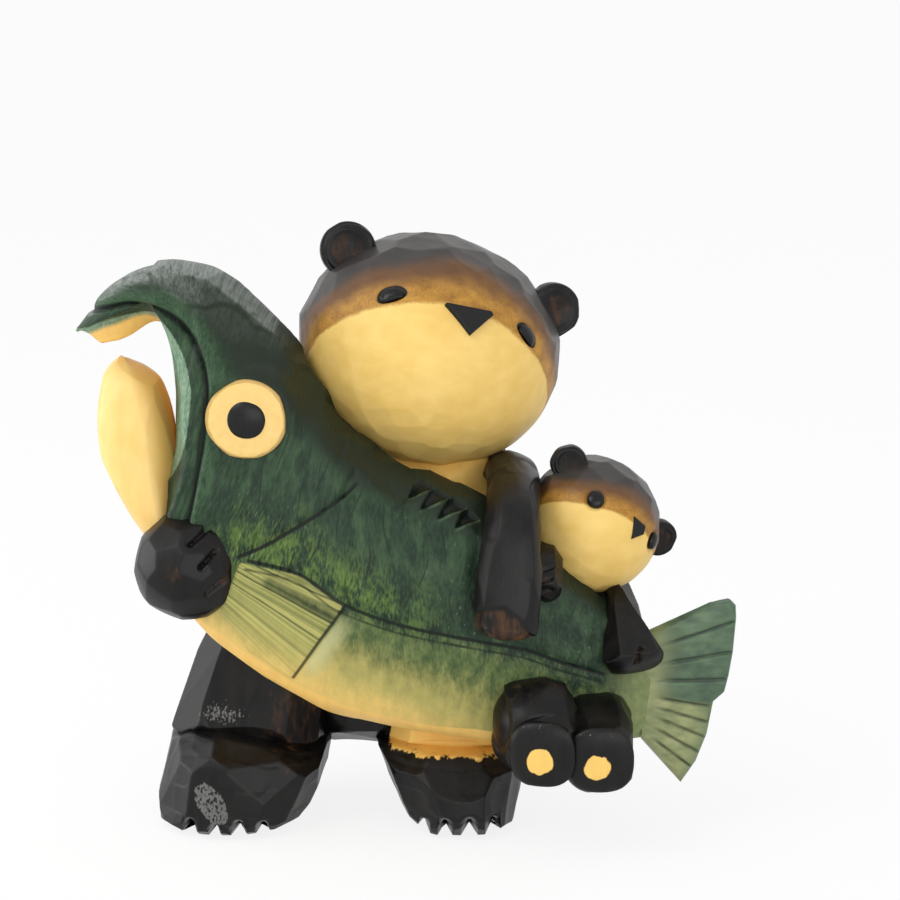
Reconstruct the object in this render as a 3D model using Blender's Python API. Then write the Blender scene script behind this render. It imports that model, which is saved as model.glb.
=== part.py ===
"""A carved and painted wooden figurine: a standing mother bear hugs a big fish, and a cub rides on its tail.

Every piece is carved by itself, seated against its neighbours with a thin glue gap and pinned with dowels.
Metres, +Z up, the bears look along -Y, and the figurine stands on z = 0. Left and right are the bears' own.
"""

import math

import bmesh
import bpy
import numpy as np
from mathutils import Matrix, Vector

MM = 0.001

# Joints between the carved pieces
GLUE_GAP = 0.3 * MM
SOCKET_GAP = 0.3 * MM
DOWEL_DIAMETER = 5.0 * MM
SMALL_DOWEL_DIAMETER = 3.4 * MM
PIN_DIAMETER = 2.4 * MM
POCKET_REACH = 3.0 * MM
TENON_DEPTH = 5.0 * MM

# Mother bear: torso and head
TORSO_X = 4.2 * MM
TORSO_Y = 14.8 * MM
TORSO_WIDTH = 53.0 * MM
TORSO_DEPTH = 42.0 * MM
TORSO_HEIGHT = 66.0 * MM
CROTCH_HEIGHT = 14.0 * MM
HIP_SHIFT = 8.0 * MM
HEAD_WIDTH = 55.4 * MM
HEAD_DEPTH = 49.0 * MM
HEAD_HEIGHT = 48.8 * MM
HEAD_FORWARD = 4.0 * MM
NECK_SINK = 5.7 * MM
HEAD_ROLL, HEAD_YAW, HEAD_PITCH = 18.2, 10.0, 4.0
EAR_ANGLE = 56.0
EAR_WIDTH = 11.6 * MM
EAR_DEPTH = 6.6 * MM
EAR_RISE = 1.4 * MM
EYE_SIDE, EYE_UP, EYE_SLOPE = 36.5, 25.5, 22.0
EYE_LENGTH = 6.2 * MM
EYE_HEIGHT = 3.6 * MM
NOSE_SIDE, NOSE_UP = 1.5, 26.5
NOSE_WIDTH = 10.0 * MM
NOSE_HEIGHT = 7.0 * MM
NOSE_PROUD = 1.0 * MM
INLAY_DEPTH = 2.4 * MM
EYE_PROUD = 0.7 * MM
EAR_TENON = 3.2 * MM
EYE_CROWN, NOSE_CROWN = 0.5, 0.9
CROWN_START = 0.3
NOSE_CORNERS = [(0.0, -0.6), (0.5, 0.25), (0.42, 0.4), (-0.42, 0.4), (-0.5, 0.25)]

# Mother bear: legs and feet
LEFT_FOOT_OUT = 6.3 * MM
LEFT_FOOT_WIDTH = 27.0 * MM
LEFT_FOOT_LENGTH = 42.0 * MM
RIGHT_FOOT_OUT = 42.2 * MM
RIGHT_FOOT_WIDTH = 31.0 * MM
RIGHT_FOOT_LENGTH = 42.0 * MM
FOOT_FORWARD = 14.0 * MM
FOOT_HEIGHT = 15.0 * MM
SHANK_DEPTH = 30.0 * MM
SHANK_BACK = 4.0 * MM
HIP_RISE = 30.0 * MM
LEFT_HIP_OUT = 3.0 * MM
RIGHT_HIP_OUT = 21.0 * MM
FOOT_EDGE = 1.0 * MM
ANKLE_RISE = 3.0 * MM
KNEE_SHARE = 0.6
TOE_SHARE = 0.6
FOOT_POWER = 0.92
TOE_NOTCHES = (-0.46, 0.04, 0.52)
TOE_NOTCH_WIDTH = 1.8 * MM
TOE_NOTCH_DEPTH = 3.0 * MM
TOE_NOTCH_HEIGHT = 5.5 * MM

# Mother bear: arms
ARM_WIDTH = 13.4 * MM
ARM_DEPTH = 10.4 * MM
LEFT_ARM_STATION = 0.20
LEFT_HAND_ACROSS = 0.10
LEFT_WRIST_ACROSS = 0.55
RIGHT_PAW_STATION, RIGHT_PAW_ACROSS = 0.575, -0.72
THROAT_EDGE = -0.9
ARM_TAPER = (0.7, 0.9, 1.0, 1.0, 1.08, 0.9)
RIGHT_ARM_WIDTH = 14.0 * MM

# Mother bear: neck and shoulder joints, from the top of the torso
NECK_DOWEL_DOWN = 14.5 * MM
NECK_DOWEL_HIGH = 8.8 * MM
LEFT_SHOULDER_ROOT = Vector((9.0, -1.0, -14.0)) * MM
LEFT_SHOULDER_PEG = Vector((7.0, 0.0, -15.0)) * MM
LEFT_SHOULDER = Vector((17.2, -3.0, -7.0)) * MM
RIGHT_SHOULDER_ROOT = Vector((-9.0, 7.0, -14.0)) * MM
RIGHT_SHOULDER_PEG = Vector((-5.0, 7.0, -15.0)) * MM
RIGHT_SHOULDER = Vector((-22.0, 9.0, -10.0)) * MM
RIGHT_ELBOW = Vector((-4.0, 6.0, -2.0)) * MM

# Mother bear: hip joints, from the bottom of the torso
LEFT_HIP_TOP = Vector((5.0, -8.0, 16.0)) * MM
LEFT_HIP_FOOT = Vector((5.5, -9.0, -5.0)) * MM
RIGHT_HIP_TOP = Vector((-12.0, -6.0, 22.0)) * MM
RIGHT_HIP_FOOT = Vector((-34.0, -10.0, 18.0)) * MM

# Mother bear: left arm, from the fish's back edge
LEFT_ARM_OVER = Vector((1.2, 4.4, 7.4)) * MM
LEFT_ARM_FRONT = Vector((0.7, -12.6, 3.1)) * MM
PAW_DIAMETER = 22.4 * MM
PAW_FORWARD = 8.0 * MM

# Fish
FISH_LENGTH = 120.0 * MM
FISH_HEIGHT = 100.4 * MM
FISH_THICKNESS = 31.0 * MM
FISH_SINK = 10.5 * MM
FISH_RISE = 5.1 * MM
FISH_LEAN = 9.0 * MM
FISH_HEART = 0.61
LEAN_FROM = 0.39
SECTION_POWER = 0.85
EYE_STATION, EYE_ACROSS = 0.578, 0.41
FISH_EYE_DIAMETER = 16.2 * MM
FISH_EYE_THICKNESS = 4.0 * MM
FISH_EYE_PROUD = 0.9 * MM
PUPIL_DIAMETER = 7.4 * MM
PUPIL_PROUD = 0.5 * MM
FISH_EYE_CROWN = 0.8
JAW_STATION = 0.615
JAW_WIDTH = 15.0 * MM
JAW_HEIGHT = 39.0 * MM
JAW_THICKNESS = 19.0 * MM
JAW_RISE = 3.1 * MM
TAIL_LENGTH = 19.4 * MM
TAIL_SPAN = 41.4 * MM
TAIL_THICKNESS = 5.4 * MM
FISH_FRONT_DOWEL, FISH_REAR_DOWEL = 0.38, 0.25
FISH_DOWEL_REACH = 8.0 * MM
JAW_DOWEL_STATION = 0.68
JAW_DOWEL_REACH = 6.0 * MM
TAIL_DOWEL_REACH = 6.5 * MM

# The fish from tail root to snout: back (along, up), belly (along, up) and thickness, as shares of its sizes
FISH_ROWS = [
    (1.000, 0.188, 0.981, 0.011, 0.35),
    (0.908, 0.307, 0.893, 0.000, 0.52),
    (0.812, 0.416, 0.788, 0.000, 0.71),
    (0.709, 0.511, 0.683, 0.015, 0.87),
    (0.596, 0.577, 0.560, 0.039, 0.97),
    (0.501, 0.644, 0.429, 0.079, 1.00),
    (0.432, 0.740, 0.299, 0.173, 1.00),
    (0.384, 0.828, 0.206, 0.272, 1.00),
    (0.329, 0.898, 0.156, 0.391, 0.97),
    (0.265, 0.965, 0.155, 0.536, 0.94),
    (0.191, 1.000, 0.169, 0.679, 0.84),
    (0.123, 0.992, 0.148, 0.842, 0.71),
    (0.058, 0.951, 0.075, 0.870, 0.55),
    (0.000, 0.867, 0.007, 0.852, 0.13),
]

# The torso from its seat to its neck: height, width and depth, as shares of its sizes
TORSO_ROWS = [
    (0.00, 0.55, 0.55), (0.05, 0.82, 0.80), (0.15, 0.96, 0.94), (0.33, 1.00, 1.00), (0.52, 0.97, 0.98),
    (0.70, 0.84, 0.88), (0.85, 0.64, 0.68), (0.95, 0.42, 0.45), (1.00, 0.20, 0.22),
]

# The lower jaw from the throat to its tip: outer edge, inner edge and thickness, as shares of its sizes
JAW_ROWS = [
    (-0.11, 0.00, 0.26, 0.03, 0.84),
    (-0.52, 0.21, 0.22, 0.29, 0.95),
    (-0.85, 0.48, 0.15, 0.63, 1.00),
    (-0.94, 0.71, -0.01, 0.84, 0.90),
    (-0.81, 0.91, -0.25, 0.94, 0.63),
    (-0.59, 1.00, -0.53, 0.99, 0.10),
]

# The tail fin's outline, from its root: shares of its length and span
TAIL_OUTLINE = [
    (-0.10, 0.22), (0.07, 0.35), (0.85, 0.49), (0.97, 0.455), (0.99, 0.23), (0.95, 0.02), (0.73, -0.08),
    (0.74, -0.19), (0.70, -0.33), (0.46, -0.47), (-0.02, -0.23), (-0.10, -0.15),
]

# Cub
CUB_STATION = 0.074
CUB_TORSO_WIDTH = 20.0 * MM
CUB_TORSO_DEPTH = 20.0 * MM
CUB_TORSO_HEIGHT = 34.0 * MM
CUB_SINK = 1.6 * MM
CUB_TORSO_RISE = 2.0 * MM
CUB_DOWEL_REACH = 7.0 * MM
CUB_HEAD_STATION = 0.088
CUB_HEAD_WIDTH = 28.8 * MM
CUB_HEAD_DEPTH = 29.4 * MM
CUB_HEAD_HEIGHT = 28.4 * MM
CUB_HEAD_BACK = 9.0 * MM
CUB_CHIN_SINK = 1.8 * MM
CUB_HEAD_ROLL, CUB_HEAD_YAW, CUB_HEAD_PITCH = 39.5, 13.0, 0.0
CUB_EAR_ANGLE = 65.0
CUB_EAR_WIDTH = 7.6 * MM
CUB_EAR_DEPTH = 5.0 * MM
CUB_EAR_RISE = 0.3 * MM
CUB_EAR_TENON = 2.4 * MM
CUB_EYE_SIDE, CUB_EYE_UP, CUB_EYE_SLOPE = 36.0, 22.0, 10.0
CUB_EYE_LENGTH = 3.8 * MM
CUB_EYE_HEIGHT = 3.2 * MM
CUB_NOSE_SIDE, CUB_NOSE_UP = 5.0, 22.0
CUB_NOSE_WIDTH = 5.0 * MM
CUB_NOSE_HEIGHT = 4.2 * MM
CUB_NOSE_PROUD = 0.8 * MM
CUB_INLAY_DEPTH = 2.0 * MM
CUB_LEFT_ARM_STATION, CUB_LEFT_ARM_ACROSS = 0.030, 0.72
CUB_RIGHT_ARM_STATION, CUB_RIGHT_ARM_ACROSS = 0.145, 0.74
CUB_ARM_WIDTH = 10.4 * MM
CUB_ARM_DEPTH = 8.6 * MM
CUB_PAW_WIDTH = 7.6 * MM
CUB_ARM_TAPER = (0.8, 1.0, 1.0, 0.7)
CUB_PAW_TAPER = (0.8, 1.0, 0.7)
CUB_LEG_TAPER = (0.93, 1.0, 1.0, 0.8)
CUB_LEFT_SHOULDER = Vector((3.0, -4.0, 12.0)) * MM
CUB_LEFT_ARM_OVER = Vector((-1.0, -1.0, 2.6)) * MM
CUB_RIGHT_ARM_OVER = Vector((0.0, 2.0, 0.5)) * MM
CUB_RIGHT_ARM_BULGE = Vector((0.0, -1.5, 2.0)) * MM
CUB_LEFT_PIN_ACROSS, CUB_RIGHT_PIN_ACROSS = 0.72, 0.80
CUB_LEG_PIN_ACROSS = -0.55
PIN_REACH = 3.4 * MM
PIN_DEPTH = 6.0 * MM
SOLE_ROUNDING = 0.12
CUB_NECK_DOWEL_LOW = 6.8 * MM
CUB_NECK_DOWEL_HIGH = 5.7 * MM
CUB_LEFT_LEG_STATION, CUB_RIGHT_LEG_STATION = 0.064, 0.146
CUB_LEG_ACROSS = -0.80
CUB_LEG_WIDTH = 14.4 * MM
CUB_LEG_HEIGHT = 14.6 * MM
CUB_HEEL_RISE = 4.0 * MM
CUB_SOLE_FORWARD = 23.5 * MM
CUB_LEG_LENGTH = 44.0 * MM

# Paint colours as they are seen, red, green and blue from 0 to 1
CREAM = (0.96, 0.82, 0.46)
CHARCOAL = (0.20, 0.19, 0.18)
FISH_GREEN = (0.28, 0.37, 0.28)
OLIVE = (0.50, 0.53, 0.36)
BLACK = (0.06, 0.06, 0.06)
BARE_WOOD = (0.80, 0.65, 0.42)
SATIN, GLOSS, MATT = 0.45, 0.15, 0.7

# Facets along and around each kind of form
LARGE_EGG, MIDDLE_EGG, SMALL_EGG = (24, 14), (20, 12), (16, 10)
LONG_LIMB, SHORT_LIMB = (14, 14), (10, 14)
FISH_STATIONS, FISH_AROUND = 30, 22
JAW_STATIONS, JAW_AROUND = 12, 16
TORSO_STATIONS = 16
OVAL_SIDES, SECTION_SIDES, DOWEL_SIDES = 16, 24, 12
SHARP_ANGLE = 35.0

FORWARD = Vector((0.0, -1.0, 0.0))
BACKWARD = Vector((0.0, 1.0, 0.0))
UP = Vector((0.0, 0.0, 1.0))
RIGHTWARD = Vector((1.0, 0.0, 0.0))


def clear_scene():
    """Removes whatever the open file holds."""
    for thing in list(bpy.data.objects):
        bpy.data.objects.remove(thing, do_unlink=True)


def smooth(rows, share):
    """Row of numbers at a share, 0 to 1, of the smooth curve through evenly spaced rows."""
    points = np.asarray(rows, float)
    padded = np.vstack([2 * points[0] - points[1], points, 2 * points[-1] - points[-2]])
    place = min(max(share, 0.0), 1.0) * (len(points) - 1)
    index = min(int(place), len(points) - 2)
    part = place - index
    before, start, end, after = padded[index:index + 4]
    return 0.5 * (2 * start + (end - before) * part + (2 * before - 5 * start + 4 * end - after) * part ** 2
                  + (3 * start - before - 3 * end + after) * part ** 3)


def turn_angles(count):
    """Angles evenly round a full turn."""
    return [2 * math.pi * k / count for k in range(count)]


def scaled(size, shares):
    """One size at each of several shares."""
    return [size * share for share in shares]


def signed_power(value, power):
    """Power of a number's size that keeps its sign."""
    return math.copysign(abs(value) ** power, value)


def linear(colour):
    """Colour as it is seen, made the linear value that a shader takes."""
    return tuple(((channel + 0.055) / 1.055) ** 2.4 for channel in colour)


def paint(name, colour, roughness):
    """Plain lacquered paint of one piece."""
    finish = bpy.data.materials.new(name + "_paint")
    finish.use_nodes = True
    shader = finish.node_tree.nodes["Principled BSDF"]
    shader.inputs["Base Color"].default_value = (*linear(colour), 1.0)
    shader.inputs["Roughness"].default_value = roughness
    shader.inputs["Metallic"].default_value = 0.0
    return finish


def add_object(name, shape, origin):
    """Object made of a shape that is drawn in the figurine's frame, with its own origin moved to a point."""
    bmesh.ops.translate(shape, verts=shape.verts, vec=-origin)
    bmesh.ops.recalc_face_normals(shape, faces=shape.faces)
    mesh = bpy.data.meshes.new(name)
    shape.to_mesh(mesh)
    shape.free()
    thing = bpy.data.objects.new(name, mesh)
    thing.location = origin
    bpy.context.scene.collection.objects.link(thing)
    return thing


def add_piece(name, shape, origin, colour, roughness=SATIN):
    """One named piece of the figurine, in its own paint."""
    piece = add_object(name, shape, origin)
    piece.parent = figurine
    piece.data.materials.append(paint(name, colour, roughness))
    return piece


def add_cutter(name, shape, origin):
    """Hidden shape that only cuts other pieces."""
    cutter = add_object(name + "_cutter", shape, origin)
    cutter.parent = figurine
    cutter.hide_render = True
    cutter.display_type = "WIRE"
    return cutter


def seat_of(piece):
    """Hidden copy of a whole piece, a glue gap larger all round, that cuts its seat in its neighbours."""
    name = piece.name + "_seat"
    if name in bpy.data.objects:
        return bpy.data.objects[name]
    cutter = bpy.data.objects.new(name, piece.data.copy())
    cutter.location = piece.location
    cutter.parent = figurine
    cutter.hide_render = True
    cutter.display_type = "WIRE"
    bpy.context.scene.collection.objects.link(cutter)
    swell = cutter.modifiers.new("glue gap", "DISPLACE")
    swell.strength = GLUE_GAP
    swell.mid_level = 0.0
    return cutter


def combine(piece, operation, tools):
    """Adds one Boolean for each tool."""
    for tool in tools:
        step = piece.modifiers.new(tool.name, "BOOLEAN")
        step.operation = operation
        step.solver = "EXACT"
        step.object = tool


def carve(piece, *tools):
    """Cuts the tools out of a piece."""
    combine(piece, "DIFFERENCE", tools)


def join(piece, *tools):
    """Joins the tools to a piece."""
    combine(piece, "UNION", tools)


def seat_against(piece, *neighbours):
    """Cuts a piece back from the neighbours that it is glued to."""
    carve(piece, *[seat_of(neighbour) for neighbour in neighbours])


def islands(shape):
    """Groups of faces that hang together."""
    waiting = set(shape.faces)
    groups = []
    while waiting:
        group, edge = [], [waiting.pop()]
        while edge:
            face = edge.pop()
            group.append(face)
            for line in face.edges:
                for neighbour in line.link_faces:
                    if neighbour in waiting:
                        waiting.remove(neighbour)
                        edge.append(neighbour)
        groups.append(group)
    return groups


def settle(piece):
    """Applies a piece's cuts, drops the chips that they leave beside it, and shades it smooth."""
    view = bpy.context.evaluated_depsgraph_get()
    mesh = bpy.data.meshes.new_from_object(piece.evaluated_get(view))
    piece.modifiers.clear()
    shape = bmesh.new()
    shape.from_mesh(mesh)
    groups = sorted(islands(shape), key=lambda group: sum(face.calc_area() for face in group))
    chips = [face for group in groups[:-1] for face in group]
    bmesh.ops.delete(shape, geom=chips, context="FACES")
    for face in shape.faces:
        face.material_index = 0
    shape.to_mesh(mesh)
    shape.free()
    finish = piece.data.materials[0]
    mesh.materials.clear()
    mesh.materials.append(finish)
    piece.data = mesh
    mesh.shade_smooth()
    mesh.set_sharp_from_angle(angle=math.radians(SHARP_ANGLE))


def loft(rings):
    """Closed skin over a row of rings, each a list of points, with a fan over each end."""
    shape = bmesh.new()
    loops = [[shape.verts.new(point) for point in ring] for ring in rings]
    count = len(loops[0])
    for low, high in zip(loops, loops[1:]):
        for i in range(count):
            j = (i + 1) % count
            shape.faces.new((low[i], low[j], high[j], high[i]))
    for loop in (loops[0], loops[-1]):
        middle = shape.verts.new(sum((vert.co for vert in loop), Vector()) / count)
        for i in range(count):
            shape.faces.new((loop[i], loop[(i + 1) % count], middle))
    return shape


def egg(centre, turn, width, depth, height, around, rings):
    """Ellipsoid of given sizes, turned in its place."""
    shape = bmesh.new()
    size = Matrix.Diagonal((width / 2, depth / 2, height / 2, 1.0))
    place = Matrix.Translation(centre) @ turn.to_4x4() @ size
    bmesh.ops.create_uvsphere(shape, u_segments=around, v_segments=rings, radius=1.0, matrix=place)
    return shape


def limb(path, widths, depths, stations, around):
    """Oval section carried along a smooth path. Its width lies crosswise at the end, and follows back."""
    points = [Vector(smooth(path, i / (stations - 1))) for i in range(stations)]
    rings = []
    side = RIGHTWARD
    for i in reversed(range(stations)):
        share = i / (stations - 1)
        ahead = (points[min(i + 1, stations - 1)] - points[max(i - 1, 0)]).normalized()
        side = (side - ahead * side.dot(ahead)).normalized()
        front = side.cross(ahead)
        half_width = smooth([[value] for value in widths], share)[0] / 2
        half_depth = smooth([[value] for value in depths], share)[0] / 2
        rings.append([points[i] + side * half_width * math.cos(angle) + front * half_depth * math.sin(angle)
                      for angle in turn_angles(around)])
    return loft(rings)


def rod(start, end, diameter):
    """Straight round rod between two points."""
    shape = bmesh.new()
    along = end - start
    turn = UP.rotation_difference(along).to_matrix().to_4x4()
    place = Matrix.Translation((start + end) / 2) @ turn
    bmesh.ops.create_cone(shape, cap_ends=True, segments=DOWEL_SIDES, radius1=diameter / 2,
                          radius2=diameter / 2, depth=along.length, matrix=place)
    return shape


def oval(length, height):
    """Points of an oval outline."""
    return [Vector((length / 2 * math.cos(a), height / 2 * math.sin(a))) for a in turn_angles(OVAL_SIDES)]


def widen(outline, gap):
    """Outline, drawn anticlockwise, with each side moved out by a gap."""
    count = len(outline)
    wider = []
    for i, point in enumerate(outline):
        before = (point - outline[i - 1]).normalized()
        after = (outline[(i + 1) % count] - point).normalized()
        out_before, out_after = Vector((before.y, -before.x)), Vector((after.y, -after.x))
        wider.append(point + (out_before + out_after) * gap / (1.0 + out_before.dot(out_after)))
    return wider


def plug(outline, centre, turn, inward, proud, crown):
    """Outline in a face's own plane, let into the wood, standing proud and drawn in to a crown."""
    def layer(depth, share):
        return [centre + turn @ Vector((point.x * share, depth, point.y * share)) for point in outline]
    return loft([layer(inward, 1.0), layer(-proud * CROWN_START, 1.0), layer(-proud, crown)])


def turned(roll, yaw, pitch):
    """Turn of a head: pitched up, then yawed to its left, then tilted over sideways. Degrees."""
    return (Matrix.Rotation(math.radians(roll), 3, "Y") @ Matrix.Rotation(math.radians(yaw), 3, "Z")
            @ Matrix.Rotation(math.radians(-pitch), 3, "X"))


class Head:
    """An egg-shaped head: its centre, turn and sizes, and points on its surface."""

    def __init__(self, centre, turn, width, depth, height):
        self.centre = centre
        self.turn = turn
        self.sizes = (width, depth, height)
        self.half = Vector((width / 2, depth / 2, height / 2))

    def direction(self, side, up):
        """Unit direction in the head's own frame, degrees to its left and up from straight ahead."""
        side, up = math.radians(side), math.radians(up)
        return Vector((math.sin(side) * math.cos(up), -math.cos(side) * math.cos(up), math.sin(up)))

    def surface(self, side, up):
        """Point of the surface in a direction."""
        way = self.direction(side, up)
        return self.centre + self.turn @ Vector([a * b for a, b in zip(way, self.half)])

    def outward(self, side, up):
        """Unit normal of the surface there."""
        way = self.direction(side, up)
        return (self.turn @ Vector([a / b for a, b in zip(way, self.half)])).normalized()

    def face_turn(self, side, up, slope=0.0):
        """Turn whose -Y looks out of the surface there and whose X runs across, tilted by a slope."""
        out = self.outward(side, up)
        across = (self.turn.col[0] - out * self.turn.col[0].dot(out)).normalized()
        across = Matrix.Rotation(math.radians(slope), 3, out) @ across
        return Matrix((across, -out, across.cross(-out))).transposed()


def fish_point(along, across):
    """Point of the fish's middle plane: along from tail root to snout, across from belly (-1) to back (1)."""
    back_x, back_z, belly_x, belly_z, _ = smooth(FISH_ROWS, along)
    share_x = (back_x + belly_x) / 2 + (back_x - belly_x) / 2 * across
    share_z = (back_z + belly_z) / 2 + (back_z - belly_z) / 2 * across
    lean = FISH_LEAN * max(0.0, share_z - LEAN_FROM) / (1.0 - LEAN_FROM)
    return Vector((TORSO_X + (share_x - FISH_HEART) * FISH_LENGTH, FISH_Y + lean,
                   FISH_Z + share_z * FISH_HEIGHT))


def fish_half(along, across):
    """Half of the fish's thickness at a point."""
    rest = max(0.0, 1.0 - abs(across) ** (2 / SECTION_POWER)) ** (SECTION_POWER / 2)
    return FISH_THICKNESS / 2 * smooth(FISH_ROWS, along)[4] * rest


def fish_skin(along, across, way):
    """Point of the fish's near side (way -1) or far side (way 1)."""
    return fish_point(along, across) + BACKWARD * way * fish_half(along, across)


def inlay(name, host, outline, centre, turn, inward, proud, crown, colour, roughness):
    """Small piece let into a pocket of its host."""
    piece = add_piece(name, plug(outline, centre, turn, inward, proud, crown), centre, colour, roughness)
    pocket = plug(widen(outline, SOCKET_GAP), centre, turn, inward + SOCKET_GAP, proud + POCKET_REACH, 1.0)
    carve(host, add_cutter(name, pocket, centre))
    return piece


def dowel(name, start, end, diameter, *hosts):
    """Round dowel between two points, with its socket in each piece that it holds."""
    piece = add_piece(name, rod(start, end, diameter), (start + end) / 2, BARE_WOOD, MATT)
    reach = (end - start).normalized() * SOCKET_GAP
    socket = rod(start - reach, end + reach, diameter + 2 * SOCKET_GAP)
    cutter = add_cutter(name, socket, (start + end) / 2)
    for host in hosts:
        carve(host, cutter)
    return piece


def ear(name, head, host, way, angle, sizes, *neighbours):
    """Round ear, seated on the head and held by its own tenon. Way is -1 on the right and 1 on the left."""
    width, depth, rise, tenon = sizes
    lean = Vector((way * math.sin(math.radians(angle)), 0.0, math.cos(math.radians(angle))))
    reach = 1.0 / math.hypot(lean.x / head.half.x, lean.z / head.half.z)
    out = head.turn @ lean
    root = head.centre + out * reach
    centre = root + out * rise
    piece = add_piece(name, egg(centre, head.turn, width, depth, width, *SMALL_EGG), centre, CHARCOAL)
    seat_against(piece, host, *neighbours)
    join(piece, add_cutter(name + "_tenon", rod(root - out * TENON_DEPTH, centre, tenon), centre))
    socket = rod(root - out * (TENON_DEPTH + SOCKET_GAP), centre, tenon + 2 * SOCKET_GAP)
    carve(host, add_cutter(name + "_socket", socket, centre))
    return piece


def face_inlays(owner, head, host, eye, nose):
    """Two eyes and a nose let into a head. Eye and nose hold angles and sizes, in their names' order."""
    eye_side, eye_up, eye_slope, eye_length, eye_height, depth = eye
    for side_name, way in (("left", 1), ("right", -1)):
        centre = head.surface(way * eye_side, eye_up)
        turn = head.face_turn(way * eye_side, eye_up, -way * eye_slope)
        inlay(f"{owner}_{side_name}_eye", host, oval(eye_length, eye_height), centre, turn,
              depth, EYE_PROUD, EYE_CROWN, BLACK, GLOSS)
    nose_side, nose_up, nose_width, nose_height, proud = nose
    outline = [Vector((x * nose_width, y * nose_height)) for x, y in NOSE_CORNERS]
    inlay(f"{owner}_nose", host, outline, head.surface(nose_side, nose_up),
          head.face_turn(nose_side, nose_up), depth, proud, NOSE_CROWN, BLACK, SATIN)


def section(centre, half_x, half_y, power=FOOT_POWER):
    """Level ring, between an oval and a rectangle."""
    return [centre + Vector((half_x * signed_power(math.cos(a), power),
                             half_y * signed_power(math.sin(a), power), 0.0))
            for a in turn_angles(SECTION_SIDES)]


def leg(name, foot_x, foot_width, foot_length, hip_x):
    """Short leg on a broad flat foot, leaning in to the hip, with notches between its toes."""
    shank_y = FOOT_Y + SHANK_BACK
    half_width, half_length = foot_width / 2, foot_length / 2
    hip = Vector((hip_x, shank_y, CROTCH_HEIGHT + HIP_RISE))
    ankle = Vector((foot_x, shank_y, FOOT_HEIGHT + ANKLE_RISE))
    rings = [
        section(Vector((foot_x, FOOT_Y, 0.0)), half_width - FOOT_EDGE, half_length - FOOT_EDGE),
        section(Vector((foot_x, FOOT_Y, FOOT_EDGE)), half_width, half_length),
        section(Vector((foot_x, FOOT_Y, FOOT_HEIGHT * TOE_SHARE)), half_width, half_length),
        section(Vector((foot_x, FOOT_Y + FOOT_EDGE, FOOT_HEIGHT)), half_width, half_length - 2 * FOOT_EDGE),
        section(ankle, half_width - FOOT_EDGE, SHANK_DEPTH / 2),
        section(ankle.lerp(hip, KNEE_SHARE), half_width - FOOT_EDGE, SHANK_DEPTH / 2),
        section(hip, half_width - 2 * FOOT_EDGE, SHANK_DEPTH / 2 - FOOT_EDGE),
    ]
    piece = add_piece(name, loft(rings), Vector((foot_x, FOOT_Y, 0.0)), CHARCOAL)
    notches = []
    for share in TOE_NOTCHES:
        front = FOOT_Y - half_length * (1 - abs(share) ** (2 / FOOT_POWER)) ** (FOOT_POWER / 2)
        x = foot_x + share * half_width
        mouth = front - TOE_NOTCH_DEPTH
        plan = [(x - TOE_NOTCH_WIDTH, mouth), (x + TOE_NOTCH_WIDTH, mouth), (x, front + TOE_NOTCH_DEPTH)]
        wedge = loft([[Vector((a, b, z)) for a, b in plan] for z in (-TOE_NOTCH_DEPTH, TOE_NOTCH_HEIGHT)])
        notches.append(add_cutter(f"{name}_toe", wedge, Vector((x, front, 0.0))))
    return piece, notches


clear_scene()
figurine = bpy.data.objects.new("figurine", None)
bpy.context.scene.collection.objects.link(figurine)

TORSO_SEAT = Vector((TORSO_X, TORSO_Y, CROTCH_HEIGHT))
TORSO_TOP = TORSO_SEAT + UP * TORSO_HEIGHT
FOOT_Y = TORSO_Y - FOOT_FORWARD
FISH_Y = TORSO_Y - TORSO_DEPTH / 2 - FISH_THICKNESS / 2 + FISH_SINK
FISH_Z = CROTCH_HEIGHT + FISH_RISE
NECK_TOP = TORSO_TOP - UP * NECK_SINK
MOTHER_HEAD = Head(NECK_TOP + FORWARD * HEAD_FORWARD + UP * HEAD_HEIGHT / 2,
                   turned(HEAD_ROLL, HEAD_YAW, HEAD_PITCH), HEAD_WIDTH, HEAD_DEPTH, HEAD_HEIGHT)
CHIN_REST = fish_point(CUB_HEAD_STATION, 1.0) - UP * CUB_CHIN_SINK
CUB_HEAD = Head(CHIN_REST + BACKWARD * CUB_HEAD_BACK + UP * CUB_HEAD_HEIGHT / 2,
                turned(CUB_HEAD_ROLL, CUB_HEAD_YAW, CUB_HEAD_PITCH),
                CUB_HEAD_WIDTH, CUB_HEAD_DEPTH, CUB_HEAD_HEIGHT)

# Fish
rings = []
for i in range(FISH_STATIONS):
    along = i / (FISH_STATIONS - 1)
    half = FISH_THICKNESS / 2 * smooth(FISH_ROWS, along)[4]
    rings.append([fish_point(along, signed_power(math.cos(a), SECTION_POWER))
                  + BACKWARD * half * signed_power(math.sin(a), SECTION_POWER)
                  for a in turn_angles(FISH_AROUND)])
fish_body = add_piece("fish_body", loft(rings), fish_point(FISH_FRONT_DOWEL, 0.0), FISH_GREEN)

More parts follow.
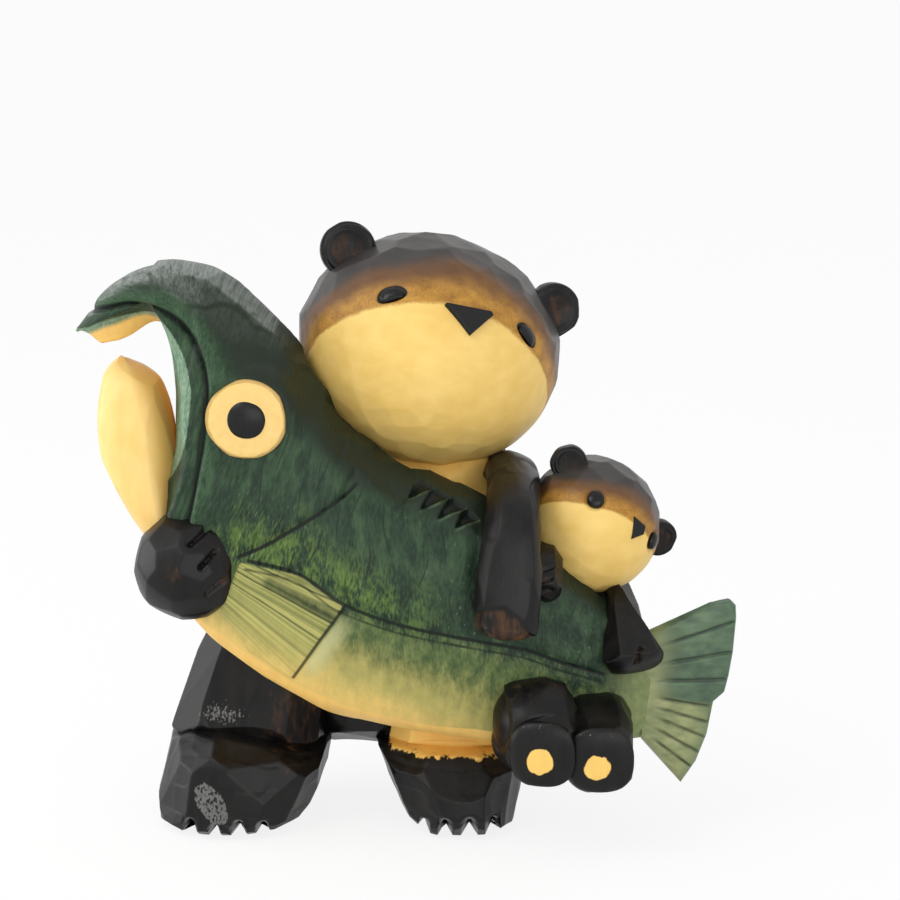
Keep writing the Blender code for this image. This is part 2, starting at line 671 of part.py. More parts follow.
throat = fish_point(JAW_STATION, -1.0) + UP * JAW_RISE
lean_rate = FISH_LEAN / FISH_HEIGHT / (1.0 - LEAN_FROM)
rings = []
for i in range(JAW_STATIONS):
    outer_x, outer_z, inner_x, inner_z, thick = smooth(JAW_ROWS, i / (JAW_STATIONS - 1))
    outer = throat + Vector((outer_x * JAW_WIDTH, 0.0, outer_z * JAW_HEIGHT))
    inner = throat + Vector((inner_x * JAW_WIDTH, 0.0, inner_z * JAW_HEIGHT))
    middle, reach = (outer + inner) / 2, (outer - inner) / 2
    middle += BACKWARD * lean_rate * (middle.z - throat.z)
    rings.append([middle + reach * math.cos(a) + BACKWARD * JAW_THICKNESS / 2 * thick * math.sin(a)
                  for a in turn_angles(JAW_AROUND)])
fish_lower_jaw = add_piece("fish_lower_jaw", loft(rings), throat, CREAM)
seat_against(fish_lower_jaw, fish_body)

tail_root = fish_point(0.0, 0.0)
outline = [tail_root + Vector((x * TAIL_LENGTH, 0.0, z * TAIL_SPAN)) for x, z in TAIL_OUTLINE]
sides = [[point + BACKWARD * way * TAIL_THICKNESS / 2 for point in outline] for way in (-1, 1)]
fish_tail_fin = add_piece("fish_tail_fin", loft(sides), tail_root, OLIVE)
seat_against(fish_tail_fin, fish_body)

for side_name, way in (("near", -1), ("far", 1)):
    centre = fish_skin(EYE_STATION, EYE_ACROSS, way)
    turn = Matrix.Rotation(math.pi * (way + 1) / 2, 3, "Z")
    disc = inlay(f"fish_{side_name}_eye", fish_body, oval(FISH_EYE_DIAMETER, FISH_EYE_DIAMETER), centre, turn,
                 FISH_EYE_THICKNESS - FISH_EYE_PROUD, FISH_EYE_PROUD, FISH_EYE_CROWN, CREAM, SATIN)
    front = centre + BACKWARD * way * FISH_EYE_PROUD
    inlay(f"fish_{side_name}_pupil", disc, oval(PUPIL_DIAMETER, PUPIL_DIAMETER), front, turn,
          FISH_EYE_THICKNESS / 2, PUPIL_PROUD, EYE_CROWN, BLACK, GLOSS)

# Mother bear: head
head_shape = egg(MOTHER_HEAD.centre, MOTHER_HEAD.turn, *MOTHER_HEAD.sizes, *LARGE_EGG)
mother_head = add_piece("mother_head", head_shape, MOTHER_HEAD.centre, CREAM)
seat_against(mother_head, fish_body)
for side_name, way in (("left", 1), ("right", -1)):
    ear(f"mother_{side_name}_ear", MOTHER_HEAD, mother_head, way, EAR_ANGLE,
        (EAR_WIDTH, EAR_DEPTH, EAR_RISE, EAR_TENON))
face_inlays("mother", MOTHER_HEAD, mother_head,
            (EYE_SIDE, EYE_UP, EYE_SLOPE, EYE_LENGTH, EYE_HEIGHT, INLAY_DEPTH),
            (NOSE_SIDE, NOSE_UP, NOSE_WIDTH, NOSE_HEIGHT, NOSE_PROUD))

# Mother bear: torso and legs
rings = []
for i in range(TORSO_STATIONS):
    rise, wide, deep = smooth(TORSO_ROWS, i / (TORSO_STATIONS - 1))
    centre = Vector((TORSO_X - HIP_SHIFT * (1.0 - rise), TORSO_Y, CROTCH_HEIGHT + rise * TORSO_HEIGHT))
    rings.append(section(centre, wide * TORSO_WIDTH / 2, deep * TORSO_DEPTH / 2, 1.0))
mother_torso = add_piece("mother_torso", loft(rings), TORSO_SEAT, CHARCOAL)
seat_against(mother_torso, fish_body, mother_head)

mother_left_leg, left_notches = leg("mother_left_leg", TORSO_X + LEFT_FOOT_OUT, LEFT_FOOT_WIDTH,
                                    LEFT_FOOT_LENGTH, TORSO_X + LEFT_HIP_OUT)
mother_right_leg, right_notches = leg("mother_right_leg", TORSO_X - RIGHT_FOOT_OUT, RIGHT_FOOT_WIDTH,
                                      RIGHT_FOOT_LENGTH, TORSO_X - RIGHT_HIP_OUT)
for piece, notches in ((mother_left_leg, left_notches), (mother_right_leg, right_notches)):
    seat_against(piece, mother_torso, fish_body)
    carve(piece, *notches)

# Mother bear: left arm over the fish, right arm behind it with its paw round the throat
back_edge = fish_point(LEFT_ARM_STATION, 1.0)
left_shoulder = TORSO_TOP + LEFT_SHOULDER
left_arm_path = [
    TORSO_TOP + LEFT_SHOULDER_ROOT,
    left_shoulder,
    back_edge + LEFT_ARM_OVER,
    back_edge + LEFT_ARM_FRONT,
    fish_skin(LEFT_ARM_STATION, LEFT_WRIST_ACROSS, -1) + FORWARD * ARM_DEPTH / 2,
    fish_skin(LEFT_ARM_STATION, LEFT_HAND_ACROSS, -1) + FORWARD * ARM_DEPTH / 2,
]
left_arm = limb(left_arm_path, scaled(ARM_WIDTH, ARM_TAPER), scaled(ARM_DEPTH, ARM_TAPER), *LONG_LIMB)
mother_left_arm = add_piece("mother_left_arm", left_arm, left_shoulder, CHARCOAL)
seat_against(mother_left_arm, fish_body, mother_torso, mother_head)

paw = fish_point(RIGHT_PAW_STATION, RIGHT_PAW_ACROSS) + FORWARD * PAW_FORWARD
behind_throat = fish_skin(RIGHT_PAW_STATION, RIGHT_PAW_ACROSS, 1) + BACKWARD * ARM_DEPTH / 2
right_shoulder = TORSO_TOP + RIGHT_SHOULDER
right_arm_path = [
    TORSO_TOP + RIGHT_SHOULDER_ROOT,
    right_shoulder,
    (right_shoulder + behind_throat) / 2 + RIGHT_ELBOW,
    behind_throat,
    fish_point(RIGHT_PAW_STATION, THROAT_EDGE),
    paw,
]
right_arm_sizes = scaled(RIGHT_ARM_WIDTH, ARM_TAPER)
right_arm = limb(right_arm_path, right_arm_sizes, right_arm_sizes, *LONG_LIMB)
mother_right_arm = add_piece("mother_right_arm", right_arm, right_shoulder, CHARCOAL)
paw_ball = egg(paw, Matrix.Identity(3), PAW_DIAMETER, PAW_DIAMETER, PAW_DIAMETER, *MIDDLE_EGG)
join(mother_right_arm, add_cutter("mother_right_paw", paw_ball, paw))
seat_against(mother_right_arm, fish_body, fish_lower_jaw, mother_torso, mother_head, mother_right_leg)

# Cub: head and torso
head_shape = egg(CUB_HEAD.centre, CUB_HEAD.turn, *CUB_HEAD.sizes, *MIDDLE_EGG)
cub_head = add_piece("cub_head", head_shape, CUB_HEAD.centre, CREAM)
seat_against(cub_head, fish_body, mother_left_arm)
for side_name, way in (("left", 1), ("right", -1)):
    ear(f"cub_{side_name}_ear", CUB_HEAD, cub_head, way, CUB_EAR_ANGLE,
        (CUB_EAR_WIDTH, CUB_EAR_DEPTH, CUB_EAR_RISE, CUB_EAR_TENON), mother_left_arm)
face_inlays("cub", CUB_HEAD, cub_head,
            (CUB_EYE_SIDE, CUB_EYE_UP, CUB_EYE_SLOPE, CUB_EYE_LENGTH, CUB_EYE_HEIGHT, CUB_INLAY_DEPTH),
            (CUB_NOSE_SIDE, CUB_NOSE_UP, CUB_NOSE_WIDTH, CUB_NOSE_HEIGHT, CUB_NOSE_PROUD))

cub_seat = fish_skin(CUB_STATION, 0.0, 1)
cub_middle = cub_seat + BACKWARD * (CUB_TORSO_DEPTH / 2 - CUB_SINK) + UP * CUB_TORSO_RISE
cub_torso = add_piece("cub_torso", egg(cub_middle, Matrix.Identity(3), CUB_TORSO_WIDTH, CUB_TORSO_DEPTH,
                                       CUB_TORSO_HEIGHT, *MIDDLE_EGG), cub_middle, CHARCOAL)
seat_against(cub_torso, fish_body, cub_head, mother_torso, mother_left_leg)

# Cub: arms over the fish's back, legs under its belly with the soles to the front
arm_over = fish_point(CUB_LEFT_ARM_STATION, 1.0) + CUB_LEFT_ARM_OVER
arm_end = fish_skin(CUB_LEFT_ARM_STATION, CUB_LEFT_ARM_ACROSS, -1) + FORWARD * CUB_ARM_DEPTH / 2
left_arm_path = [
    cub_middle + CUB_LEFT_SHOULDER,
    arm_over,
    (arm_over + arm_end) / 2 + FORWARD * CUB_ARM_DEPTH / 2,
    arm_end,
]
left_arm = limb(left_arm_path, scaled(CUB_ARM_WIDTH, CUB_ARM_TAPER), scaled(CUB_ARM_DEPTH, CUB_ARM_TAPER),
                *SHORT_LIMB)
cub_left_arm = add_piece("cub_left_arm", left_arm, arm_end, CHARCOAL)
seat_against(cub_left_arm, fish_body, fish_tail_fin, cub_head, cub_torso)

arm_over = fish_point(CUB_RIGHT_ARM_STATION, 1.0) + CUB_RIGHT_ARM_OVER
arm_end = fish_skin(CUB_RIGHT_ARM_STATION, CUB_RIGHT_ARM_ACROSS, -1) + FORWARD * CUB_PAW_WIDTH / 2
right_arm_path = [arm_over, (arm_over + arm_end) / 2 + CUB_RIGHT_ARM_BULGE, arm_end]
paw_sizes = scaled(CUB_PAW_WIDTH, CUB_PAW_TAPER)
cub_right_arm = add_piece("cub_right_arm", limb(right_arm_path, paw_sizes, paw_sizes, *SHORT_LIMB),
                          arm_end, CHARCOAL)
seat_against(cub_right_arm, fish_body, cub_head, mother_left_arm)

cub_legs = {}
for side_name, station in (("right", CUB_RIGHT_LEG_STATION), ("left", CUB_LEFT_LEG_STATION)):
    sole = fish_point(station, CUB_LEG_ACROSS) + FORWARD * CUB_SOLE_FORWARD
    heel = sole + BACKWARD * CUB_LEG_LENGTH + UP * CUB_HEEL_RISE
    heel.x = (sole.x + cub_middle.x) / 2
    leg_path = [sole, sole.lerp(heel, SOLE_ROUNDING), sole.lerp(heel, 0.5), heel]
    shape = limb(leg_path, scaled(CUB_LEG_WIDTH, CUB_LEG_TAPER), scaled(CUB_LEG_HEIGHT, CUB_LEG_TAPER),
                 *SHORT_LIMB)
    cub_legs[side_name] = add_piece(f"cub_{side_name}_leg", shape, sole, CHARCOAL)
seat_against(cub_legs["right"], fish_body, cub_torso, mother_left_leg, mother_torso)
seat_against(cub_legs["left"], fish_body, cub_torso, mother_left_leg, cub_legs["right"])

# Dowels, each with a socket in the two pieces that it holds
dowel("neck_dowel", TORSO_TOP - UP * NECK_DOWEL_DOWN, MOTHER_HEAD.centre - UP * NECK_DOWEL_HIGH,
      DOWEL_DIAMETER, mother_torso, mother_head)
dowel("left_hip_dowel", TORSO_SEAT + LEFT_HIP_TOP, TORSO_SEAT + LEFT_HIP_FOOT, DOWEL_DIAMETER,
      mother_torso, mother_left_leg)
dowel("right_hip_dowel", TORSO_SEAT + RIGHT_HIP_TOP, TORSO_SEAT + RIGHT_HIP_FOOT, DOWEL_DIAMETER,
      mother_torso, mother_right_leg)
dowel("left_shoulder_dowel", TORSO_TOP + LEFT_SHOULDER_PEG, left_shoulder, SMALL_DOWEL_DIAMETER,
      mother_torso, mother_left_arm)
dowel("right_shoulder_dowel", TORSO_TOP + RIGHT_SHOULDER_PEG, right_shoulder, SMALL_DOWEL_DIAMETER,
      mother_torso, mother_right_arm)
for end_name, along in (("front", FISH_FRONT_DOWEL), ("rear", FISH_REAR_DOWEL)):
    middle = fish_skin(along, 0.0, 1)
    dowel(f"fish_{end_name}_dowel", middle + FORWARD * FISH_DOWEL_REACH, middle + BACKWARD * FISH_DOWEL_REACH,
          DOWEL_DIAMETER, fish_body, mother_torso)
jaw_joint = fish_point(JAW_DOWEL_STATION, -1.0)
dowel("jaw_dowel", jaw_joint - RIGHTWARD * JAW_DOWEL_REACH, jaw_joint + RIGHTWARD * JAW_DOWEL_REACH,
      SMALL_DOWEL_DIAMETER, fish_body, fish_lower_jaw)
dowel("tail_dowel", tail_root - RIGHTWARD * TAIL_DOWEL_REACH, tail_root + RIGHTWARD * TAIL_DOWEL_REACH,
      PIN_DIAMETER, fish_body, fish_tail_fin)
dowel("cub_neck_dowel", cub_middle + UP * CUB_NECK_DOWEL_LOW, CUB_HEAD.centre - UP * CUB_NECK_DOWEL_HIGH,
      SMALL_DOWEL_DIAMETER, cub_torso, cub_head)
dowel("cub_seat_dowel", cub_seat + FORWARD * CUB_DOWEL_REACH, cub_seat + BACKWARD * CUB_DOWEL_REACH,
      SMALL_DOWEL_DIAMETER, fish_body, cub_torso)
for name, station, across, host in (
        ("cub_right_leg_pin", CUB_RIGHT_LEG_STATION, CUB_LEG_PIN_ACROSS, cub_legs["right"]),
        ("cub_left_leg_pin", CUB_LEFT_LEG_STATION, CUB_LEG_PIN_ACROSS, cub_legs["left"]),
        ("cub_right_arm_pin", CUB_RIGHT_ARM_STATION, CUB_RIGHT_PIN_ACROSS, cub_right_arm),
        ("cub_left_arm_pin", CUB_LEFT_ARM_STATION, CUB_LEFT_PIN_ACROSS, cub_left_arm)):
    middle = fish_skin(station, across, -1)
    dowel(name, middle + FORWARD * PIN_REACH, middle + BACKWARD * PIN_DEPTH, PIN_DIAMETER, fish_body, host)

for piece in [thing for thing in figurine.children if not thing.hide_render]:
    settle(piece)
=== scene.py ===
# %% [markdown]
# # A carved wooden bear with her cub and a fish
#
# The real figurine is cut from wood with knives and gouges, painted thinly and lacquered. Each piece here
# is a surface worked out with numpy: a plain form first, then flat knife cuts, then grooves. The paint is
# procedural and follows coordinates that the surfaces carry with them.

# %% Load the frame
import math

import bpy
import numpy as np
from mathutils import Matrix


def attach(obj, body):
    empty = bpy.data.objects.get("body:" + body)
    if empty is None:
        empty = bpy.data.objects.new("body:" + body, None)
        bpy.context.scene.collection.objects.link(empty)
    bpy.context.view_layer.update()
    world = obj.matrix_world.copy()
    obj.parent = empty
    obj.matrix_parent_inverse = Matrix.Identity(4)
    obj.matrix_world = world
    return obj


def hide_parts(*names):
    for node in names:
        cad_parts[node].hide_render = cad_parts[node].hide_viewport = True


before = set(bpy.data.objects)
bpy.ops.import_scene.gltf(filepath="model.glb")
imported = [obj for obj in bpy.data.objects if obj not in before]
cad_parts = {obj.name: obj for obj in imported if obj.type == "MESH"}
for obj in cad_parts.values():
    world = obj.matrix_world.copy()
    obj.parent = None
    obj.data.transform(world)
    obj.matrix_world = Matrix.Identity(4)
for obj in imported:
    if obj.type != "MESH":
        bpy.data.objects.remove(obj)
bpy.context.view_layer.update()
MM = 0.001

# %% [markdown]
# ## Curves and grids
#
# A carver's forms are smooth before they are faceted. Rows of given numbers are joined by one smooth
# curve, and every piece is a grid of points: its rows run along the piece and its columns close round it.

# %% Curve and grid helpers
UP = np.array([0.0, 0.0, 1.0])
BACK = np.array([0.0, 1.0, 0.0])
RIGHT = np.array([1.0, 0.0, 0.0])


def smooth(rows, share):
    """Row of numbers at each share, 0 to 1, of the cubic curve that passes through evenly spaced rows."""
    rows = np.asarray(rows, float)
    padded = np.vstack([2 * rows[0] - rows[1], rows, 2 * rows[-1] - rows[-2]])
    place = np.clip(share, 0.0, 1.0) * (len(rows) - 1)
    index = np.minimum(place.astype(int), len(rows) - 2)
    part = (place - index)[..., None]
    before, start, end, after = (padded[index + k] for k in range(4))
    return 0.5 * (2 * start + (end - before) * part + (2 * before - 5 * start + 4 * end - after) * part ** 2
                  + (3 * start - before - 3 * end + after) * part ** 3)


def unit(vectors):
    """Vectors of length one."""
    return vectors / np.linalg.norm(vectors, axis=-1, keepdims=True)


def ramp(values, low, high):
    """Smooth step from 0 at low to 1 at high."""
    part = np.clip((values - low) / (high - low), 0.0, 1.0)
    return part * part * (3 - 2 * part)


def signed_power(values, power):
    """Power of each number's size that keeps its sign."""
    return np.sign(values) * np.abs(values) ** power


def round_angles(count):
    """Angles evenly round a full turn."""
    return np.arange(count) * 2 * math.pi / count


def grid_normals(points):
    """Outward unit normals of a grid: the cross product of its slopes along the rows and round the
    columns."""
    along = np.gradient(points, axis=0)
    around = np.roll(points, -1, 1) - np.roll(points, 1, 1)
    normals = np.cross(along, around)
    volume = np.sum(normals * (points - points.mean((0, 1))))
    return unit(normals) * (1.0 if volume > 0 else -1.0)


def raise_by(points, heights):
    """Grid moved along its own normals."""
    return points + grid_normals(points) * heights[..., None]


print("half way up a ramp:", ramp(0.5, 0.0, 1.0))

# %% [markdown]
# ## Knife cuts
#
# A knife leaves flat, slightly hollow facets that meet in crisp ridges. Each cut is the tangent plane at a
# chosen point, a little hollowed and tilted. At every point the lowest of the planes near it wins, as it
# does when the wood above each plane is cut away. Grooves are measured from lines drawn on the side of the
# piece.

# %% Facets and grooves
BATCH = 3_000_000


def spread(places, spacing, rng):
    """Indices of places taken in random order, each at least 0.9 of a spacing from all those before it."""
    pool = rng.choice(len(places), min(len(places), 3000), replace=False)
    far = np.full(len(pool), np.inf)
    chosen = []
    for k, pick in enumerate(pool):
        if far[k] > (0.9 * spacing) ** 2:
            chosen.append(pick)
            far = np.minimum(far, np.sum((places[pool] - places[pick]) ** 2, 1))
    return np.array(chosen)


def facets(points, spacing, hollow, tilt, seed, stretch=(1.0, 1.0, 1.0)):
    """Height of flat cuts over a grid. A cut is a tangent plane plus hollow times the squared distance from
    its middle, and the lowest cut wins, blended a little. Planes that lean away from the surface, or whose
    middle is over 1.3 spacings off, are lifted out of the way. Distances along an axis shrink by its
    stretch, which draws the cuts out. No cut is deeper than 0.12 of a spacing."""
    rng = np.random.default_rng(seed)
    shape = points.shape[:2]
    normals = grid_normals(points).reshape(-1, 3)
    places = points.reshape(-1, 3)
    ground = places * stretch
    seeds = spread(ground, spacing, rng)
    leans = unit(normals[seeds] + rng.normal(0.0, math.radians(tilt), (len(seeds), 3)))
    levels = np.sum(places[seeds] * leans, 1) + rng.uniform(-0.2, 0.2, len(seeds)) * hollow * spacing ** 2
    heights, edge = [], 0.025
    batches = max(1, len(places) * len(seeds) // BATCH)
    for part in np.array_split(np.arange(len(places)), batches):
        facing = normals[part] @ leans.T
        rise = (levels - places[part] @ leans.T) / np.maximum(facing, 0.45)
        rise += 4.0 * np.maximum(0.0, 0.7 - facing) ** 2
        apart = (np.sum(ground[part] ** 2, 1)[:, None] + np.sum(ground[seeds] ** 2, 1)
                 - 2 * ground[part] @ ground[seeds].T)
        rise += hollow * apart + 0.06 * np.maximum(0.0, apart - (1.3 * spacing) ** 2)
        lowest = rise.min(1, keepdims=True)
        heights.append(lowest[:, 0] - edge * np.log(np.exp((lowest - rise) / edge).sum(1)))
    heights = np.concatenate(heights).reshape(shape)
    return np.clip(heights - np.median(heights), -0.12 * spacing, 0.12 * spacing)


def line_offset(places, line, beyond=np.inf):
    """Signed distance from flat places to a bent line, positive on its left, whose ends run straight on
    beyond it, and how far inside the line's own ends, in millimetres, each place lies."""
    line = np.asarray(line, float)
    steps = np.diff(line, axis=0)
    lengths = np.linalg.norm(steps, axis=1)
    starts = np.concatenate([[0.0], lengths.cumsum()])
    nearest = np.full(places.shape[:-1], np.inf)
    offset = np.zeros(places.shape[:-1])
    far = np.zeros(places.shape[:-1])
    for k, (start, step, length) in enumerate(zip(line, steps, lengths)):
        ahead = step / length
        reach = np.clip((places - start) @ ahead, -beyond if k == 0 else 0.0,
                        length + (beyond if k == len(steps) - 1 else 0.0))
        gap = places - start - reach[..., None] * ahead
        distance = np.linalg.norm(gap, axis=-1)
        left = ahead[0] * gap[..., 1] - ahead[1] * gap[..., 0] >= 0
        closer = distance < nearest
        offset = np.where(closer, np.where(left, distance, -distance), offset)
        far = np.where(closer, starts[k] + reach, far)
        nearest = np.minimum(nearest, distance)
    return offset, np.minimum(far, starts[-1] - far)


def line_distance(places, line):
    """Plain distance from flat places to a bent line."""
    return np.abs(line_offset(places, line, 0.0)[0])


def curve(line, count=60):
    """Smooth line through a few points."""
    return smooth(line, np.linspace(0.0, 1.0, count))


def inside_distance(places, corners):
    """Distance to a closed outline, positive inside it, by counting how often a line to the right crosses
    it."""
    corners = np.asarray(corners, float)
    inside = np.zeros(places.shape[:-1], bool)
    for (x0, z0), (x1, z1) in zip(corners, np.roll(corners, -1, 0)):
        level = (z0 > places[..., 1]) != (z1 > places[..., 1])
        cross = x0 + (places[..., 1] - z0) * (x1 - x0) / (z1 - z0 if z1 != z0 else 1.0)
        inside ^= level & (places[..., 0] < cross)
    distance = line_distance(places, np.vstack([corners, corners[:1]]))
    return np.where(inside, distance, -distance)


def groove(distance, width, depth):
    """Cut along a line: as deep as given on the line, and fading smoothly to nothing at half its width."""
    return -depth * ramp(distance, width / 2, 0.0)


print("middle of a groove 2 wide and 0.5 deep:", groove(0.0, 2.0, 0.5))

# %% [markdown]
# ## From a grid to a piece
#
# One function turns any grid into a closed mesh, stores the paint coordinates on its points, and seats the
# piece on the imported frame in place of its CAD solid.

# %% Piece helper
SHARP = math.radians(50)


def add_piece(node, points, finish, **fields):
    """Closed mesh over a grid in millimetres, with a fan over each end, standing for a CAD node."""
    rows, columns = points.shape[:2]
    count = rows * columns
    places = np.concatenate([points.reshape(-1, 3), points[:1].mean(1), points[-1:].mean(1)]) * MM
    here = np.arange(count).reshape(rows, columns)
    beside = np.roll(here, -1, 1)
    quads = np.stack([here[:-1], beside[:-1], beside[1:], here[1:]], -1).reshape(-1, 4)
    first = np.stack([beside[0], here[0], np.full(columns, count)], -1)
    last = np.stack([here[-1], beside[-1], np.full(columns, count + 1)], -1)
    fans = np.concatenate([first, last])
    corners = places[quads[:, :3]]
    volume = np.sum(np.cross(corners[:, 0], corners[:, 1]) * corners[:, 2])
    if volume < 0:
        quads, fans = quads[:, ::-1], fans[:, ::-1]
    mesh = bpy.data.meshes.new("carved_" + node)
    mesh.from_pydata(places.tolist(), [], quads.tolist() + fans.tolist())
    for name, values in fields.items():
        values = np.broadcast_to(values, (rows, columns))
        flat = np.concatenate([values.ravel(), [values[0].mean(), values[-1].mean()]])
        mesh.attributes.new(name, "FLOAT", "POINT").data.foreach_set("value", flat.astype(np.float32))
    mesh.shade_smooth()
    mesh.set_sharp_from_angle(angle=SHARP)
    mesh.materials.append(finishes[finish])
    piece = bpy.data.objects.new("carved_" + node, mesh)
    bpy.context.scene.collection.objects.link(piece)
    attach(piece, "root")
    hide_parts(node)
    print(piece.name, len(mesh.polygons), "faces")


def add_black(node, points, stain=0.0, cream=-5.0, scuff=-3.0):
    """Piece in black paint: stain is how far brown shows, cream the distance inside a cream patch, and
    the last how strongly a stippled grey is painted on as a highlight."""
    add_piece(node, points, "black_paint", stain=stain, cream=cream, scuff=scuff)


print("edges sharper than", round(math.degrees(SHARP)), "degrees stay crisp")

# %% [markdown]
# ## Writing paint as sums
#
# Shader nodes are easier to read as arithmetic. This class wraps one socket: sums and products of sockets
# add Math nodes, and every other node comes from its add method.

# %% Shader helper
class Socket:
    """One output in a material, usable in Python sums."""

    def __init__(self, tree, end):
        self.tree = tree
        self.end = end

    def add(self, kind, settings, values, output=0):
        """New node of a kind: its settings are set first, then each socket takes a value or a link."""
        node = self.tree.nodes.new("ShaderNode" + kind)
        for name, setting in settings.items():
            setattr(node, name, setting)
        for name, value in values.items():
            if isinstance(value, Socket):
                self.tree.links.new(value.end, node.inputs[name])
            else:
                node.inputs[name].default_value = value
        return Socket(self.tree, node.outputs[output])

    def math(self, operation, first, second=0.0):
        """Math node with an operation on two values."""
        return self.add("Math", {"operation": operation}, {0: first, 1: second})

    def __add__(self, other):
        return self.math("ADD", self, other)

    def __radd__(self, other):
        return self.math("ADD", other, self)

    def __sub__(self, other):
        return self.math("SUBTRACT", self, other)

    def __rsub__(self, other):
        return self.math("SUBTRACT", other, self)

    def __mul__(self, other):
        return self.math("MULTIPLY", self, other)

    def __rmul__(self, other):
        return self.math("MULTIPLY", other, self)

    def step(self, low, high):
        """Smooth step from 0 at low to 1 at high."""
        return self.add("MapRange", {"interpolation_type": "SMOOTHSTEP"},
                        {"Value": self, "From Min": low, "From Max": high})

    def mix(self, first, second):
        """First colour where this mask is 0, second where it is 1."""
        return self.add("Mix", {"data_type": "RGBA"}, {0: self, 6: first, 7: second}, output=2)

    def paint(self, first, second):
        """First paint where this mask is 0, second where it is 1, each as it is seen, 0 to 255."""
        return self.mix(colour(*first), colour(*second))

    def line(self, name, wide, place=0.0):
        """Mask of a drawn line: a signed distance near a place, inside the ends that the piece carries."""
        near = self.math("ABSOLUTE", self.field(name) - place)
        return near.step(wide, wide * 0.3) * self.field(name + "_in").step(-0.2, 0.8)

    def field(self, name):
        """Number that the piece's points carry."""
        return self.add("Attribute", {"attribute_name": name}, {}, output=2)

    def noise(self, size, stretch=(1.0, 1.0, 1.0), detail=3.0, shift=0.0, place=None):
        """Cloudy noise, 0 to 1, with spots of a size in millimetres, drawn out along an axis. It lies in
        the piece's own space, or follows a place that the piece carries."""
        place = place or self.add("TexCoord", {}, {}, output=3)
        scale = tuple(1.0 / (MM * size * value) for value in stretch)
        place = self.add("Mapping", {}, {"Vector": place, "Location": (shift, shift, shift), "Scale": scale})
        return self.add("TexNoise", {}, {"Vector": place, "Scale": 1.0, "Detail": detail})


def colour(red, green, blue):
    """Paint colour as it is seen, 0 to 255, in the linear values that a shader takes."""
    seen = np.array([red, green, blue]) / 255.0
    linear = np.where(seen > 0.04045, ((seen + 0.055) / 1.055) ** 2.4, seen / 12.92)
    return (*linear.tolist(), 1.0)


finishes = {}


def start_finish(name):
    """New material and a first socket to build its nodes from."""
    material = bpy.data.materials.new(name)
    material.use_nodes = True
    shader = material.node_tree.nodes["Principled BSDF"]
    finishes[name] = material
    return Socket(material.node_tree, shader.outputs[0]), shader


def finish_with(start, shader, base, roughness, relief, depth, shine=0.5):
    """Links the paint, its gloss and a fine relief, in millimetres, to the shader. Shine is how strongly
    the surface mirrors, where 0.5 is a common varnish."""
    shader.inputs["Specular IOR Level"].default_value = shine
    bump = start.add("Bump", {}, {"Strength": 1.0, "Distance": depth * MM, "Height": relief})
    for socket, value in (("Base Color", base), ("Roughness", roughness), ("Normal", bump)):
        start.tree.links.new(value.end, shader.inputs[socket])


print("mid grey in linear light:", round(colour(128, 128, 128)[0], 3))

# %% [markdown]
# ## Charcoal paint
#
# The bears' limbs are brushed with thin black over brown, then lacquered. The black is nearly flat in colour:
# most greys come from the room mirrored in each facet, and a few stippled greys on the feet are painted
# highlights. Brown shows in the finger cuts and along worn edges, and a few places are brushed over with the
# same cream as the face.

# %% Black paint
start, shader = start_finish("black_paint")
brush = start.noise(2.2, (1.0, 1.0, 5.0), 4.0)
grain = start.noise(0.35, (1.0, 1.0, 6.0), 2.0, 7.0)
patch = start.noise(9.0, detail=2.0, shift=3.0)
black = (brush * 0.7 + patch * 0.5).step(0.35, 0.85).paint((10, 9, 9), (25, 23, 22))
worn = (start.field("stain") + (start.noise(1.3, (1, 1, 2.5), 5.0, 11.0) - 0.5) * 1.3).step(0.3, 0.8)
black = worn.mix(black, brush.step(0.35, 0.7).paint((28, 17, 12), (82, 55, 34)))
# Painted highlight: a stippled light grey where the lacquer would mirror the room, on a few places of the
# feet.
highlight_mask = (start.field("scuff") + (start.noise(0.42, (1.2, 1.2, 1.8), 3.0, 15.0) - 0.5) * 2.4).step(0.4, 0.75)
black = (highlight_mask * 0.7).mix(black, colour(122, 122, 120))
fringe = (start.noise(0.8, (1.0, 1.0, 3.0), 4.0, 5.0) - 0.5) * 1.8
fringe = fringe + (start.noise(2.4, (1.0, 1.0, 4.0), 2.0, 8.0) - 0.5) * 2.5
cream_edge = start.field("cream") + fringe
cream = start.noise(3.0, (1.0, 1.0, 3.0), 4.0, 2.0).paint((236, 186, 94), (252, 214, 122))
black = cream_edge.step(0.1, 0.6).mix(black, cream)
gloss = 0.28 + brush * 0.18 + worn * 0.15 + cream_edge.step(0.1, 0.6) * 0.14
finish_with(start, shader, black, gloss, grain * 0.6 + brush * 0.5, 0.06, 0.23)
print("black paint mixed")

# %% [markdown]
# ## Face paint
#
# The faces are cream below an arch that runs under the eyes. Above it the colour is sprayed in bands: gold,
# brown, then charcoal at the crown. The field "arch" counts degrees above the cream, so one ramp sets all
# the bands.

# %% Cream, gold and charcoal
start, shader = start_finish("face_paint")
brush = start.noise(2.6, (1.6, 1.0, 1.0), 4.0)
cloud = start.noise(8.0, detail=2.0, shift=4.0)
speck = start.noise(0.45, detail=2.0, shift=9.0)
arch = start.field("arch")
wavy = arch + (brush - 0.5) * 5.0 + (speck - 0.5) * 2.0
cream = (cloud * 0.6 + brush * 0.6).step(0.3, 0.9).paint((232, 192, 102), (243, 208, 124))
gold = (brush * 0.6 + speck * 0.5).step(0.3, 0.8).paint((140, 92, 32), (200, 150, 62))
gold = (speck.step(0.62, 0.7) * 0.6).mix(gold, colour(78, 48, 22))
brown = brush.paint((82, 53, 28), (120, 83, 48))
charcoal = cloud.paint((42, 39, 38), (68, 64, 62))
sprayed = (arch + (cloud - 0.5) * 12.0 + (speck - 0.5) * 5.0)
top = sprayed.step(21.0, 37.0).mix(sprayed.step(6.0, 22.0).mix(gold, brown), charcoal)
face = wavy.step(-0.6, 2.4).mix(cream, top)
